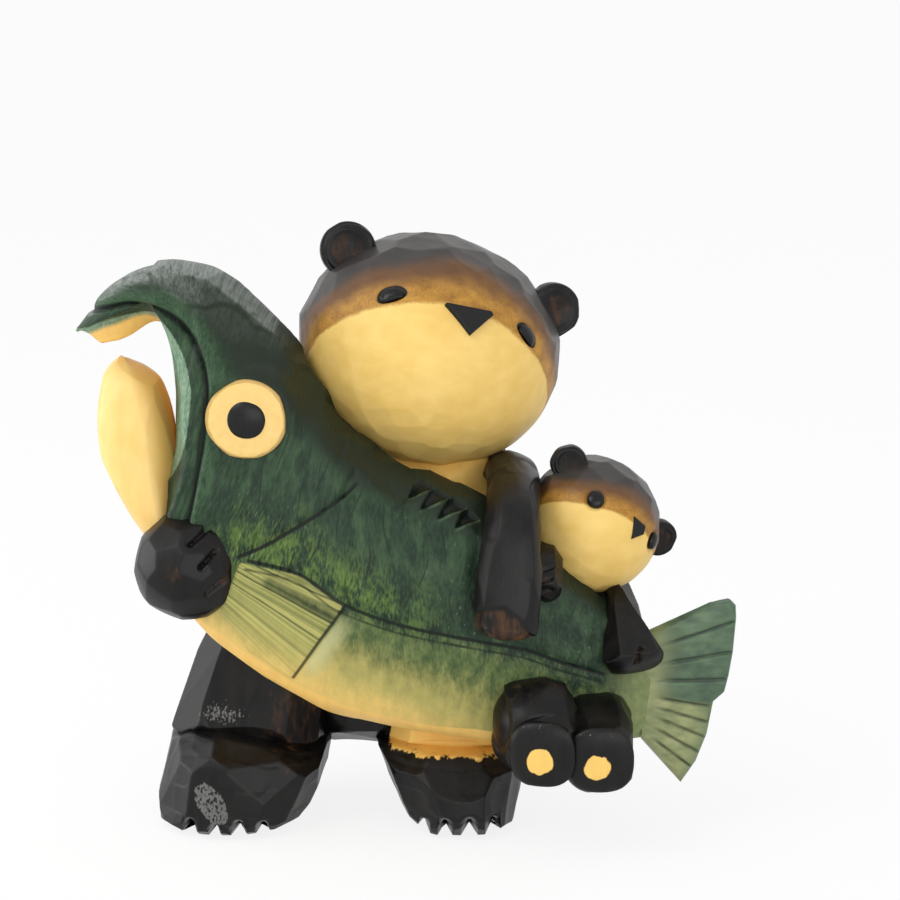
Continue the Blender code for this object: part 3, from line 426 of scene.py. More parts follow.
face = (start.field("socket") + (brush - 0.5) * 0.3).step(0.0, 0.1).mix(face, colour(12, 11, 10))
gloss = 0.44 - arch.step(10.0, 40.0) * 0.12 + brush * 0.1
finish_with(start, shader, face, gloss, brush * 0.8 + speck * 0.4, 0.06, 0.36)
print("face paint mixed")

# %% [markdown]
# ## Fish paint
#
# The fish is nearly black along its back, green on the flank with yellow-green strokes, olive below the
# lateral line and cream along the belly. The fields across (belly -1, back 1) and along (tail 0, snout 1)
# place these bands, and the stroke noises follow them, so that the brush runs with the body.

# %% Flank greens
start, shader = start_finish("fish_paint")
along, across, low = start.field("along"), start.field("across"), start.field("low")
flow = start.add("CombineXYZ", {}, {"X": along * 0.15, "Y": across * 0.026})
stroke = start.noise(1.7, (1.0, 2.6, 1.0), 5.0, place=flow)
fine = start.noise(0.42, (1.0, 3.2, 1.0), 3.0, 9.0, flow)
dab = start.noise(4.2, (1.0, 1.7, 1.0), 4.0, 3.0, flow)
cloud = start.noise(14.0, detail=2.0, shift=6.0)
skin = (stroke * 0.5 + fine * 0.5).step(0.3, 0.7).paint((19, 37, 25), (46, 68, 48))
pale = (dab * 0.7 + stroke * 0.3).step(0.44, 0.7) * 0.65
skin = pale.mix(skin, fine.paint((52, 78, 51), (80, 106, 73)))
lime = start.field("lime") * (dab * 0.6 + fine * 0.4).step(0.42, 0.62)
skin = (lime * 0.8).mix(skin, fine.paint((66, 96, 30), (122, 146, 66)))
# Painted shadow: a thin dark line along each knife step on the flank, where the step is in shade.
knife = start.math("PINGPONG", start.field("knife"), 0.5).step(0.075, 0.02)
knife = knife * start.field("knife_in").step(0.0, 0.8)
skin = (knife * (fine + 0.35) * 0.8).mix(skin, colour(12, 26, 16))
skin = (fine.step(0.66, 0.73) * cloud.step(0.4, 0.6) * 0.45).mix(skin, colour(140, 160, 140))
print("flank strokes mixed")

# %% [markdown]
# The back is brushed nearly black, with a ragged edge. Under the lateral line olive runs through straw into
# cream. A ramp alone would look sprayed, so the stroke noises move each edge, as a dry brush does.

# %% Back and belly
top = start.field("top") + (dab - 0.5) * 5.0 + (stroke - 0.5) * 3.0
skin = top.step(-1.0, 2.6).mix(skin, (cloud * 0.5 + fine * 0.5).paint((15, 24, 15), (40, 52, 38)))
shade = low * (0.5 + along.step(0.14, 0.34) * 0.5)
under = shade + (stroke - 0.5) * 0.2 + (fine - 0.5) * 0.14 + (dab - 0.5) * 0.16
olive = (stroke * 0.6 + fine * 0.4).step(0.35, 0.7).paint((62, 84, 48), (112, 124, 74))
skin = under.step(-0.02, 0.16).mix(skin, olive)
skin = under.step(0.2, 0.7).mix(skin, stroke.paint((150, 146, 82), (196, 180, 106)))
skin = under.step(0.62, 1.0).mix(skin, stroke.paint((212, 180, 98), (236, 202, 118)))
print("back and belly mixed")

# %% [markdown]
# The side fin is straw-coloured and combed with thin dark rays, which fan out from one point in front of
# it. The ray number is a field, and folding it back and forth draws every ray with one node. A pale patch
# behind its rear edge is a painted highlight.

# %% Side fin
fin, ray = start.field("fin").step(-0.1, 0.3), start.field("ray")
fan_place = start.add("CombineXYZ", {}, {"X": ray * 0.005, "Y": across * 0.004})
streak = start.noise(1.0, detail=4.0, place=fan_place)
straw = streak.step(0.35, 0.65).paint((132, 136, 76), (194, 188, 112))
skin = (fin * (0.75 - low.step(0.45, 0.95) * 0.6)).mix(skin, straw)
thin = start.math("PINGPONG", ray, 0.5).step(0.09, 0.02) * (1.0 - ray.step(1.4, 3.2) * 0.75)
skin = (thin * fin * (dab + 0.3)).mix(skin, colour(48, 60, 34))
skin = (start.field("smear").step(2.2, 0.0) * fin * (stroke + 0.35)).mix(skin, colour(40, 56, 32))
edge_side = start.field("fin_edge")
# Painted highlight: a pale patch just behind the fin's rear edge.
fin_edge_highlight = edge_side.step(0.2, 1.0) * edge_side.step(5.5, 1.5) * start.field("fin_edge_in").step(0.0, 7.0)
skin = (fin_edge_highlight * 0.6).mix(skin, colour(206, 204, 150))
print("fin mixed")

# %% [markdown]
# The chamfer round the mouth is mint, and wood that faces up on the head gets a painted grey sheen, where
# the lacquer would mirror the light from above. Last come the cut lines, which the painter darkened. Each is
# drawn from a signed distance, which stays sharp between the points.

# %% Mouth, painted sheen and dark lines
ridge = start.field("ridge") + (stroke - 0.5) * 3.0
skin = (ridge.step(5.0, 0.5) * fine.step(0.25, 0.65) * 0.5).mix(skin, colour(72, 104, 72))
tail_end = stroke.paint((104, 120, 76), (158, 166, 112))
skin = (along.step(0.08, 0.01) * 0.85).mix(skin, tail_end)
rim = start.field("rim") + (fine - 0.5) * 0.5
chamfer = (fine * 0.6 + stroke * 0.4).step(0.3, 0.7).paint((76, 112, 86), (150, 174, 148))
chamfer = (rim.step(2.6, 4.5) * 0.75).mix(chamfer, colour(40, 62, 44))
skin = (rim.step(-0.15, 0.3) * 0.9).mix(skin, chamfer)
# Painted sheen: light grey on upward-facing wood of the head.
crest = start.field("crest") * (stroke * 0.5 + fine * 0.5).step(0.25, 0.7)
skin = (crest * 0.9).mix(skin, colour(152, 160, 154))
cream = stroke.paint((228, 182, 98), (248, 208, 120))
skin = start.field("roof").step(0.1, 0.35).mix(skin, cream)
skin = (start.field("belly") + (fine - 0.5) * 0.5).step(-0.15, 0.2).mix(skin, cream)
chip_up, chip_in = start.field("chip_up"), start.field("chip_in").step(0.0, 0.6)
chip_edge = chip_up.step(-0.65, -0.3) * chip_up.step(0.2, -0.1) * chip_in
skin = (chip_edge * stroke.step(0.3, 0.65) * 0.6).mix(skin, colour(88, 114, 86))
drawn = (start.line("lip", 0.8) + start.line("gill", 0.62) + start.line("lateral", 0.6) * (dab + 0.45)
         + start.line("lateral", 0.45, -1.7) * (dab + 0.1) + start.line("fin_edge", 0.55) * 0.8
         + chip_up.step(-0.1, 0.4) * chip_in)
skin = (drawn.step(0.0, 1.0) * 0.92).mix(skin, colour(7, 16, 10))
gloss = 0.36 + stroke * 0.16 + fine * 0.08
finish_with(start, shader, skin, gloss, stroke * 0.7 + fine * 0.7, 0.09, 0.22)
print("fish paint mixed")

# %% [markdown]
# ## The small finishes
#
# The lower jaw is the same cream as the faces. Its inner face, inside the mouth, is a little darker and
# warmer: a warmer tint and painted shade. It could share their finish, but the face's arch of colours would
# have no place to start on a jaw.

# %% Jaw cream
start, shader = start_finish("jaw_paint")
brush = start.noise(2.4, (1.0, 1.0, 3.0), 4.0)
cloud = start.noise(9.0, detail=2.0, shift=2.0)
cream = (brush * 0.5 + cloud * 0.7).step(0.3, 0.9).paint((238, 193, 104), (248, 211, 134))
# Painted shade with a warmer tint: the inner face of the jaw is a little darker cream.
cream = start.field("inner").step(0.2, 0.9).mix(cream, colour(230, 182, 100))
finish_with(start, shader, cream, 0.4 + brush * 0.12, brush * 1.0, 0.05)
print("jaw cream mixed")

# %% [markdown]
# The tail fin is olive, greener above and towards its tips, and dark in its cuts. The field "ink" is the
# distance from the nearest cut, so the dark paint follows the knife exactly.

# %% Tail olive
start, shader = start_finish("tail_paint")
stroke = start.noise(1.4, (3.0, 1.0, 1.4), 4.0)
cloud = start.noise(7.0, detail=2.0, shift=5.0)
outer = start.field("outer") + (stroke - 0.5) * 0.35
pale = (stroke * 0.7 + cloud * 0.5).step(0.35, 0.85).paint((112, 126, 82), (168, 170, 118))
green = (stroke * 0.7 + cloud * 0.5).step(0.35, 0.85).paint((46, 72, 54), (98, 122, 90))
upper = (start.field("upper") + (stroke - 0.5) * 0.12).step(-0.14, -0.06)
leaf = (upper * outer.step(0.05, 0.45)).mix(pale, green)
leaf = (outer.step(0.75, 1.1) * 0.7).mix(leaf, colour(70, 98, 72))
lined = (start.field("ink") + (stroke - 0.5) * 0.3).step(0.42, 0.05) * outer.step(0.12, 0.4) * (cloud + 0.25)
leaf = lined.mix(leaf, colour(26, 42, 30))
finish_with(start, shader, leaf, 0.36 + stroke * 0.14, stroke * 1.0, 0.06)
print("tail olive mixed")

# %% [markdown]
# The fish's eye rings are cream, darker towards the edge. Eyes and noses are gloss black, and duller on the
# flat noses. The hidden dowels are bare wood with their grain along Z.

# %% Eye ring, gloss black and bare wood
start, shader = start_finish("eye_ring_paint")
brush = start.noise(1.8, (1.0, 1.0, 1.0), 4.0)
cream = brush.paint((232, 190, 104), (245, 212, 138))
cream = (start.field("edge") + (brush - 0.5) * 0.8).step(0.5, 1.0).mix(cream, colour(196, 160, 88))
finish_with(start, shader, cream, 0.42 + brush * 0.1, brush * 1.0, 0.05)

start, shader = start_finish("gloss_black")
fine = start.noise(0.5, (1.0, 1.0, 4.0), 3.0)
paint = fine.paint((8, 8, 9), (24, 24, 25))
finish_with(start, shader, paint, 0.16 + start.field("matt") * 0.3 + fine * 0.08, fine * 1.0, 0.04, 0.27)

start, shader = start_finish("dowel_wood")
rings = start.noise(0.9, (1.0, 1.0, 12.0), 3.0)
wood = rings.paint((178, 132, 80), (222, 186, 132))
finish_with(start, shader, wood, 0.6 + rings * 0.2, rings * 1.0, 0.05)
print(len(finishes), "finishes")

# %% [markdown]
# ## The fish's body
#
# The body is a row of sections from the tail root to the snout. Each section lies between a point of the
# back and a point of the belly, and past the throat the belly side is the roof of the open mouth. There the
# section gets a flat roof with a chamfer, as the knife left it.

# %% Fish sizes and its middle plane
FISH_LENGTH, FISH_HEIGHT, FISH_THICK = 120.0, 100.4, 31.0
FISH_PLACE = np.array([-69.0, -11.2, 19.1])
FISH_LEAN, LEAN_FROM = 9.0, 0.39
FISH_POWER = 0.85
EYE_ALONG, EYE_ACROSS = 0.578, 0.41
FISH_ROWS = [
    (1.000, 0.188, 0.981, 0.011, 0.35), (0.908, 0.307, 0.893, 0.000, 0.52),
    (0.812, 0.416, 0.788, 0.000, 0.71), (0.709, 0.511, 0.683, 0.015, 0.87),
    (0.596, 0.577, 0.560, 0.039, 0.97), (0.501, 0.644, 0.429, 0.079, 1.00),
    (0.432, 0.740, 0.299, 0.173, 1.00), (0.384, 0.828, 0.206, 0.272, 1.00),
    (0.329, 0.898, 0.156, 0.391, 0.97), (0.265, 0.965, 0.155, 0.536, 0.94),
    (0.191, 1.000, 0.169, 0.679, 0.84), (0.123, 0.992, 0.150, 0.880, 0.71),
    (0.058, 0.951, 0.075, 0.870, 0.55), (0.000, 0.867, 0.007, 0.852, 0.13),
]


def fish_point(along, across, thick=0.0):
    """Point of the fish: along from tail root to snout, across from belly -1 to back 1, thick from near -1
    to far 1. It lies between the rows' back and belly, leans back with height, and is moved off the middle
    by thick."""
    rows = smooth(FISH_ROWS, np.asarray(along, float))
    share_x = (rows[..., 0] * (1 + across) + rows[..., 2] * (1 - across)) / 2
    share_z = (rows[..., 1] * (1 + across) + rows[..., 3] * (1 - across)) / 2
    lean = FISH_LEAN * np.maximum(0.0, share_z - LEAN_FROM) / (1 - LEAN_FROM)
    off = lean + thick * FISH_THICK / 2 * rows[..., 4]
    return FISH_PLACE + np.stack([share_x * FISH_LENGTH, off, share_z * FISH_HEIGHT], -1)


def fish_skin(along, across, way):
    """Point of the fish's side, near -1 or far 1: the section is a rounded oval."""
    rest = max(0.0, 1 - abs(across) ** (2 / FISH_POWER)) ** (FISH_POWER / 2)
    return fish_point(along, across, way * rest)


print("fish, mm:", FISH_LENGTH, "long,", FISH_HEIGHT, "high and", FISH_THICK, "thick")

# %% [markdown]
# On the real fish the mouth, gill, lateral line and fin are knife lines. Here each is a line through a few
# points of the side view, in X and Z, so that one list serves both the cut and its paint. A painted image
# would need a UV map, and would blur close up.

# %% Lines drawn on the fish
LIP = curve([(-66.0, 110.5), (-58.3, 112.5), (-53.1, 112.3), (-48.7, 111.1), (-44.7, 108.0), (-41.8, 102.6),
             (-40.6, 95.5), (-41.4, 86.3), (-42.9, 77.7), (-45.0, 68.0)])
CHAMFER = curve([(-66.0, 106.5), (-59.5, 109.0), (-53.2, 110.2), (-49.6, 108.9), (-46.1, 104.0),
                 (-44.0, 97.2), (-44.2, 90.4), (-45.6, 83.4), (-49.0, 76.5)])
DARK_BACK = curve([(-66.0, 110.8), (-60.0, 114.0), (-53.0, 115.2), (-47.4, 114.2), (-43.8, 111.2),
                   (-38.6, 104.5), (-34.9, 98.2), (-24.8, 90.0), (-13.6, 78.0), (0.0, 71.0),
                   (14.0, 64.5), (30.0, 54.0), (50.0, 40.0)])
GILL = curve([(-10.0, 77.0), (-12.7, 74.7), (-17.7, 71.4), (-23.8, 67.8), (-28.9, 64.9), (-34.9, 62.3)])
LATERAL = curve([(-33.0, 62.0), (-21.8, 59.1), (-12.7, 52.8), (-1.5, 48.5), (12.7, 45.0), (24.0, 42.3),
                 (31.3, 39.3), (41.0, 35.8)])
FIN = [(-34.0, 61.6), (-21.8, 59.1), (-12.7, 52.8), (-17.9, 45.3), (-23.7, 36.2), (-33.0, 42.0),
       (-38.0, 52.0)]
FIN_FAN = np.array([-58.0, 72.8])
FIN_SMEAR = [(-28.0, 57.4), (-15.4, 50.7)]
FIN_EDGE = [(-12.7, 52.8), (-17.9, 45.3), (-23.7, 36.2)]
BELLY = curve([(-46.0, 51.0), (-40.3, 46.1), (-32.5, 40.5), (-23.7, 35.4), (-12.0, 30.1), (2.4, 26.2),
               (14.8, 24.6), (30.0, 21.0)])
CHIPS = [((0.0, 73.3), (5.2, 74.1)), ((2.0, 70.7), (8.8, 72.4)), ((5.6, 68.8), (12.4, 70.6)),
         ((9.2, 66.9), (15.0, 68.5))]
print(len(LIP), "points in each smooth line,", len(CHIPS), "chips")

# %% [markdown]
# The grid comes next. Across and thick go round each section together, as cosine and sine do on a circle.
# The roof of the mouth is hollowed, and both sides are flattened where an eye is let in.

# %% Fish grid
along = np.linspace(0.0, 1.0, 400)[:, None]
angle = round_angles(248)[None]
across = signed_power(np.cos(angle), FISH_POWER) + 0 * along
thick = signed_power(np.sin(angle), FISH_POWER) + 0 * along
mouth = ramp(along, 0.60, 0.67)
across = np.where(across < 0, np.maximum(across * (1 + 0.14 * mouth), -1.0), across)
chamfer = np.maximum(0.0, np.abs(thick) - across - (2.0 - 0.72 * mouth)) / 2
across = across + chamfer
thick = thick - np.sign(thick) * chamfer
body = fish_point(along, across, thick * (1 - 0.42 * ramp(along, 0.07, 0.0)))
palate = ramp(-across, 0.4, 1.0) * ramp(along, 0.82, 0.9) * ramp(along, 1.0, 0.95) * (1 - thick ** 2)
body[..., 2] -= 4.0 * palate
for way in (-1, 1):
    eye = fish_skin(EYE_ALONG, EYE_ACROSS, way)
    eye_gap = np.hypot(body[..., 0] - eye[0], body[..., 2] - eye[2])
    flat = ramp(eye_gap, 13.5, 8.2) * (thick * way > 0)
    body[..., 1] += (eye[1] - body[..., 1]) * flat
print("fish grid", body.shape[:2])

# %% [markdown]
# Lines and patches are drawn on the side view, so that both sides of the fish get the same. For each point
# of the grid these numbers say how far it lies from a line, inside an outline, or up a chip.

# %% Distances on the fish's side
side = body[..., [0, 2]]
lip = inside_distance(side, np.vstack([LIP, [(-80.0, 68.0), (-80.0, 110.5)]]))
rim = inside_distance(side, np.vstack([CHAMFER, [(-80.0, 77.5), (-80.0, 106.5)]]))
gill, gill_in = line_offset(side, GILL)
lateral, lateral_in = line_offset(side, LATERAL)
fin = inside_distance(side, FIN)
spoke = side - FIN_FAN
ray = (-23.7 - np.degrees(np.arctan2(spoke[..., 1], spoke[..., 0]))) / 5.3
fin_edge, fin_edge_in = line_offset(side, FIN_EDGE)
smear = line_distance(side, FIN_SMEAR)
top, _ = line_offset(side, DARK_BACK)
chip_up = np.zeros(side.shape[:-1])
chip_in = np.full(side.shape[:-1], -9.0)
for start, end in np.array(CHIPS):
    length = np.linalg.norm(end - start)
    ahead = (end - start) / length
    share = (side - start) @ ahead / length
    up = (side - start) @ np.array([-ahead[1], ahead[0]])
    high = 2.8 * np.clip(share / 0.45, 0.0, 1.0) ** 0.8 * np.clip((1.0 - share) / 0.35, 0.0, 1.0)
    ends = np.minimum(share, 1.0 - share) * length
    within = np.minimum.reduce([up + 0.8, high - up, ends])
    chip_up = np.where(within > chip_in, up, chip_up)
    chip_in = np.maximum(chip_in, within)
belly_height = np.interp(side[..., 0], BELLY[:, 0], BELLY[:, 1], right=0.0)
belly = np.where(side[..., 0] < -44, -5.0, belly_height - side[..., 1])
lateral_height = np.interp(side[..., 0], LATERAL[:, 0], LATERAL[:, 1])
low = (lateral_height - side[..., 1]) / np.maximum(lateral_height - belly_height, 8.0)
lime = ramp(low, -0.7, -0.1) * ramp(side[..., 0], 14.0, -8.0) * ramp(side[..., 0], -44.0, -34.0)
print("belly, dark back and", len(CHIPS), "chips measured")

# %% [markdown]
# Every cut adds to one height, along the normals: broad facets, short dabs of the knife on the flank, small
# chips, and grooves along the drawn lines. Real geometry shows in the outline too, which bump in a material
# would not.

# %% Cuts on the fish
flat = ramp(along, 0.5, 0.6)
head = ramp(along, 0.54, 0.6)
cuts = facets(body, 11.0, 0.002, 2.0, 4, (1.0, 1.0, 0.7))
knife = 50 * along + 0.24 * np.sin(5 * across + 40 * along) + 0.16 * np.sin(13 * across + 23 * along + 1.3)
flank = (1 - flat) * ramp(low, 0.06, -0.06) * ramp(across, 0.97, 0.8)
stop = knife % 1.0
dabs = (0.2 + 0.12 * np.sin(9 * across + 2.4 * np.floor(knife))) * (stop - ramp(stop, 0.86, 1.0))
# Weight of the painted shadow drawn along the knife steps.
knife_in = np.sin(9 * across + 2.4 * np.round(knife)) * flank
chips = facets(body, 3.6, 0.02, 5.0, 10, (0.8, 1.0, 0.8)) * (0.3 * flat + 0.25 * ramp(low, 0.0, 0.1))
strong = 0.3 + 0.5 * ramp(top, -3.0, 3.0) * ramp(along, 0.82, 0.7)
heights = strong * cuts * ramp(eye_gap, 9.0, 17.0) + dabs * flank + chips
heights += (groove(np.abs(lip), 2.6, 0.8) + 0.7 * ramp(lip, 0.4, -0.6) * ramp(lip, -9.0, -1.0)) * head
heights -= (0.25 * np.clip(rim, 0.0, 2.5) + 0.4 * ramp(top, -0.5, 0.5)) * head
heights += groove(np.abs(gill), 2.2, 0.8) * ramp(gill_in, -0.5, 1.5)
double = groove(np.abs(lateral), 1.5, 0.4) + groove(np.abs(lateral + 1.7), 1.4, 0.3)
heights += double * ramp(lateral_in, -0.2, 2.0)
rays = groove(np.abs(ray - np.round(ray)) * 3.0, 1.6, 0.25)
heights += 0.6 * ramp(fin, -0.4, 0.6) + rays * ramp(fin, 0.0, 0.8)
heights -= 1.1 * ramp(chip_up, -0.2, 0.6) * ramp(chip_in, 0.0, 1.0)
heights = np.minimum(heights, 9 * ramp(eye_gap, 8.4, 13.0))
body = raise_by(body, heights)
# Painted sheen: where the head's surface faces up, found from its normals.
crest = ramp(grid_normals(body)[..., 2], 0.45, 0.98) * ramp(along, 0.5, 0.62) * ramp(across, 0.5, 0.85)
crest = crest * ramp(eye_gap, 12.5, 17.5)
inside = ramp(-across, 0.96, 1.0) * ramp(np.abs(thick), 0.42, 0.3) * mouth
ridge = np.where(lip < 0, -lip, 9.0) + 9 * (1 - head)
add_piece("fish_body", body, "fish_paint", along=along, across=across, belly=belly, low=low, lime=lime,
          fin=fin, ray=ray, rim=rim - 9 * (1 - head), roof=palate + inside, smear=smear,
          chip_up=chip_up, chip_in=chip_in, top=top, knife=knife, knife_in=knife_in, crest=crest,
          ridge=ridge, lip=lip, lip_in=3 * head - 1, gill=gill, gill_in=gill_in,
          lateral=lateral, lateral_in=lateral_in, fin_edge=fin_edge, fin_edge_in=fin_edge_in)

# %% [markdown]
# ## The lower jaw
#
# The jaw is a tongue of wood with a ridge along its side. It is made as the body is, from sections between an
# outer and an inner line, because a block bent to shape would lose its even curl.

# %% Lower jaw
JAW_WIDE, JAW_HIGH, JAW_THICK, JAW_RISE = 15.0, 39.0, 19.0, 3.1
JAW_ROWS = [(-0.11, 0.00, 0.26, 0.03, 0.84), (-0.52, 0.21, 0.22, 0.29, 0.95),
            (-0.85, 0.48, 0.15, 0.63, 1.00), (-0.94, 0.71, -0.01, 0.84, 0.90),
            (-0.81, 0.91, -0.25, 0.94, 0.63), (-0.59, 1.00, -0.53, 0.99, 0.06)]
throat = fish_point(0.615, -1.0) + UP * JAW_RISE
rows = smooth(JAW_ROWS, 1 - (1 - np.linspace(0.0, 1.0, 180)) ** 1.25)[:, None]
angle = round_angles(160)[None]
outer, inner = rows[..., [0, 1]] * (JAW_WIDE, JAW_HIGH), rows[..., [2, 3]] * (JAW_WIDE, JAW_HIGH)
reach, face = signed_power(np.cos(angle), 0.8)[..., None], signed_power(np.sin(angle), 0.8)
flat_place = (outer + inner) / 2 + (outer - inner) / 2 * reach
lean = flat_place[..., 1] * FISH_LEAN / FISH_HEIGHT / (1 - LEAN_FROM)
jaw = throat + np.stack([flat_place[..., 0], lean + face * JAW_THICK / 2 * rows[..., 4],
                         flat_place[..., 1]], -1)
ridge = np.maximum(0.0, -np.cos(angle) - 0.25) * np.abs(np.sin(angle)) * 2.2 * np.sqrt(rows[..., 4])
jaw = raise_by(jaw, 0.35 * facets(jaw, 8.0, 0.003, 2.0, 5, (1.0, 1.0, 0.5)) - 0.6 * ridge)
# The field inner marks the jaw's inner face, which gets the painted shade.
add_piece("fish_lower_jaw", jaw, "jaw_paint", inner=np.maximum(0.0, -np.cos(angle) - 0.1) * 1.4)

# %% [markdown]
# ## The tail fin
#
# The tail fin is a thin blade, cut with lines that fan out from its root. Each point lies on a straight line
# from the root to the outer edge, and the cuts are taken off the thickness, so that both faces match.

# %% Tail fin
TAIL_LENGTH, TAIL_SPAN, TAIL_ROOT_THICK, TAIL_TIP_THICK = 19.4, 41.4, 6.2, 2.4
TAIL_EDGE = [(0.66, 0.49), (0.876, 0.507), (0.94, 0.476), (0.948, 0.415), (0.918, 0.232), (0.876, 0.109),
             (0.835, 0.029), (0.675, -0.039), (0.662, -0.094), (0.65, -0.196), (0.536, -0.338),
             (0.376, -0.452)]
TAIL_EDGE_AT = [0.0, 0.07, 0.10, 0.14, 0.30, 0.41, 0.48, 0.55, 0.60, 0.70, 0.85, 1.0]
TAIL_CUTS = np.array([0.15, 0.29, 0.42, 0.555, 0.635, 0.715, 0.80, 0.89])
sweep = np.concatenate([np.linspace(0, 1, 220), np.linspace(1, 0, 220)])
way = np.repeat([-1.0, 1.0], 220)
out = np.concatenate([np.linspace(0.0, 0.985, 130), [0.992, 0.997, 1.0]])[:, None]
edge = np.stack([np.interp(sweep, TAIL_EDGE_AT, np.array(TAIL_EDGE)[:, k]) for k in (0, 1)], -1)
root = np.stack([np.full_like(sweep, -0.06), 0.33 - 0.55 * sweep], -1)
flat_place = (root + (edge - root) * out[..., None]) * (TAIL_LENGTH, TAIL_SPAN)
fan = np.abs(sweep[:, None] - TAIL_CUTS).min(1) * (0.35 + 0.65 * out) * TAIL_SPAN
half = (TAIL_ROOT_THICK + (TAIL_TIP_THICK - TAIL_ROOT_THICK) * out) / 2
half = half * np.sqrt(np.clip(1 - ((out - 0.95) / 0.05).clip(0) ** 2, 0.02, 1))
half = half * np.clip(1.0 - np.abs(2 * sweep - 1) ** 14, 0.08, 1)
half = half + 0.45 * ramp(sweep, 0.565, 0.545) * ramp(out, 0.2, 0.6) * ramp(half, 0.3, 0.9)
carved = half + groove(fan, 1.3, 0.5) * ramp(out, 0.15, 0.4) * ramp(half, 0.0, 0.9)
tail = fish_point(0.0, 0.0) + np.stack([flat_place[..., 0], way * np.maximum(carved, 0.12),
                                        flat_place[..., 1]], -1)
add_piece("fish_tail_fin", tail, "tail_paint", ink=fan, outer=out, upper=1 - 2 * sweep)

# %% [markdown]
# ## The fish's eyes
#
# The eye is a cream disc let into the fish, with a black dome in its middle. A lathe would turn both, so a
# profile is carried round a circle here, and a slow wobble of the radius makes it look cut by hand.

# %% Fish eyes
def turned_disc(centre, way, profile, around, wobble, seed):
    """Disc turned about Y: a profile of radius and height carried round a circle. Its radius wobbles by a sum
    of seven sine waves, each shorter one also lower."""
    rng = np.random.default_rng(seed)
    angle = round_angles(around)[None]
    waves = sum(rng.normal(0, wobble / k) * np.sin(k * angle + rng.uniform(0, 6)) for k in range(2, 9))
    profile = smooth(profile, np.linspace(0, 1, 60))[:, None]
    radius = profile[..., 0] * (1 + waves)
    return centre + np.stack([radius * np.cos(angle), way * profile[..., 1] + 0 * angle,
                              radius * np.sin(angle)], -1)


RING_PROFILE = [(0.2, 0.75), (3.4, 0.78), (6.6, 0.72), (7.6, 0.5), (8.05, 0.1), (8.1, -1.2), (8.0, -2.9),
                (0.3, -3.0)]
PUPIL_PROFILE = [(0.1, 1.1), (1.6, 0.95), (3.0, 0.55), (3.85, 0.0), (3.7, -0.6), (3.7, -1.8), (0.2, -1.9)]
RING_FRONT = 0.75
for name, way in (("near", -1), ("far", 1)):
    centre = fish_skin(EYE_ALONG, EYE_ACROSS, way)
    ring = turned_disc(centre, way, RING_PROFILE, 200, 0.006, 3)
    ring = raise_by(ring, 0.4 * facets(ring, 4.0, 0.003, 1.5, 6))
    rim = np.linalg.norm((ring - centre)[..., [0, 2]], axis=-1)
    add_piece(f"fish_{name}_eye", ring, "eye_ring_paint", edge=ramp(rim, 6.9, 8.0))
    pupil = turned_disc(centre + BACK * way * RING_FRONT, way, PUPIL_PROFILE, 120, 0.014, 8)
    add_piece(f"fish_{name}_pupil", pupil, "gloss_black", matt=0.5)

# %% [markdown]
# ## Heads
#
# A head is an egg, and its grid has its poles at the nose and at the back of the skull, so that the finest
# mesh lies round the face. Broad cuts cover the crown, and rows of small scallops lie under the chin.

# %% Head helper
def turned(roll, yaw, pitch):
    """Turn of a head: pitched up about X, yawed about Z, then tilted over about Y, in degrees."""
    turns = np.radians([roll, yaw, -pitch])
    cr, cy, cp = np.cos(turns)
    sr, sy, sp = np.sin(turns)
    tilt = np.array([[cr, 0, sr], [0, 1, 0], [-sr, 0, cr]])
    swing = np.array([[cy, -sy, 0], [sy, cy, 0], [0, 0, 1]])
    nod = np.array([[1, 0, 0], [0, cp, -sp], [0, sp, cp]])
    return tilt @ swing @ nod


def face_way(side, up):
    """Unit direction in a head's own frame, degrees to its left and up from straight ahead."""
    side, up = np.radians(side), np.radians(up)
    return np.stack([np.sin(side) * np.cos(up), -np.cos(side) * np.cos(up), np.sin(up)], -1)


class Head:
    """An egg: centre, turn and half sizes, with places on its surface."""

    def __init__(self, centre, turn, half):
        self.centre = np.asarray(centre, float)
        self.turn = turn
        self.half = np.asarray(half, float)

    def surface(self, ways):
        """Points of the egg in given directions of its own frame."""
        return self.centre + (ways * self.half) @ self.turn.T

    def seat(self, side, up, slope=0.0):
        """Point, outward normal, and two directions in the surface there: across, turned by a slope, and
        up."""
        way = face_way(side, up)
        out = unit(self.turn @ (way / self.half))
        across = unit(self.turn[:, 0] - out * (self.turn[:, 0] @ out))
        upward = np.cross(across, -out)
        upward = upward if upward @ self.turn[:, 2] > 0 else -upward
        cos, sin = math.cos(math.radians(slope)), math.sin(math.radians(slope))
        return self.surface(way), out, across * cos + upward * sin, upward * cos - across * sin

    def grid(self, side, up, rows, columns):
        """Unit directions whose poles lie at a place on the face and opposite it."""
        pole = face_way(side, up)
        across = unit(np.cross(pole, UP))
        other = np.cross(pole, across)
        bend = ((np.arange(rows) + 0.5) / rows * math.pi)[:, None, None]
        turn = round_angles(columns)[None, :, None]
        return np.cos(bend) * pole + np.sin(bend) * (np.cos(turn) * across + np.sin(turn) * other)


def side_up(ways):
    """Degrees to the left and up of unit directions."""
    side = np.degrees(np.arctan2(ways[..., 0], -ways[..., 1]))
    up = np.degrees(np.arcsin(np.clip(ways[..., 2], -1, 1)))
    return side, up


MOTHER = Head((4.2, 10.8, 98.7), turned(18.2, 10.0, 4.0), (27.7, 24.5, 24.4))
CUB = Head(fish_point(0.088, 1.0) + BACK * 9.0 + UP * 12.4, turned(39.5, 13.0, 0.0), (14.4, 14.7, 14.2))


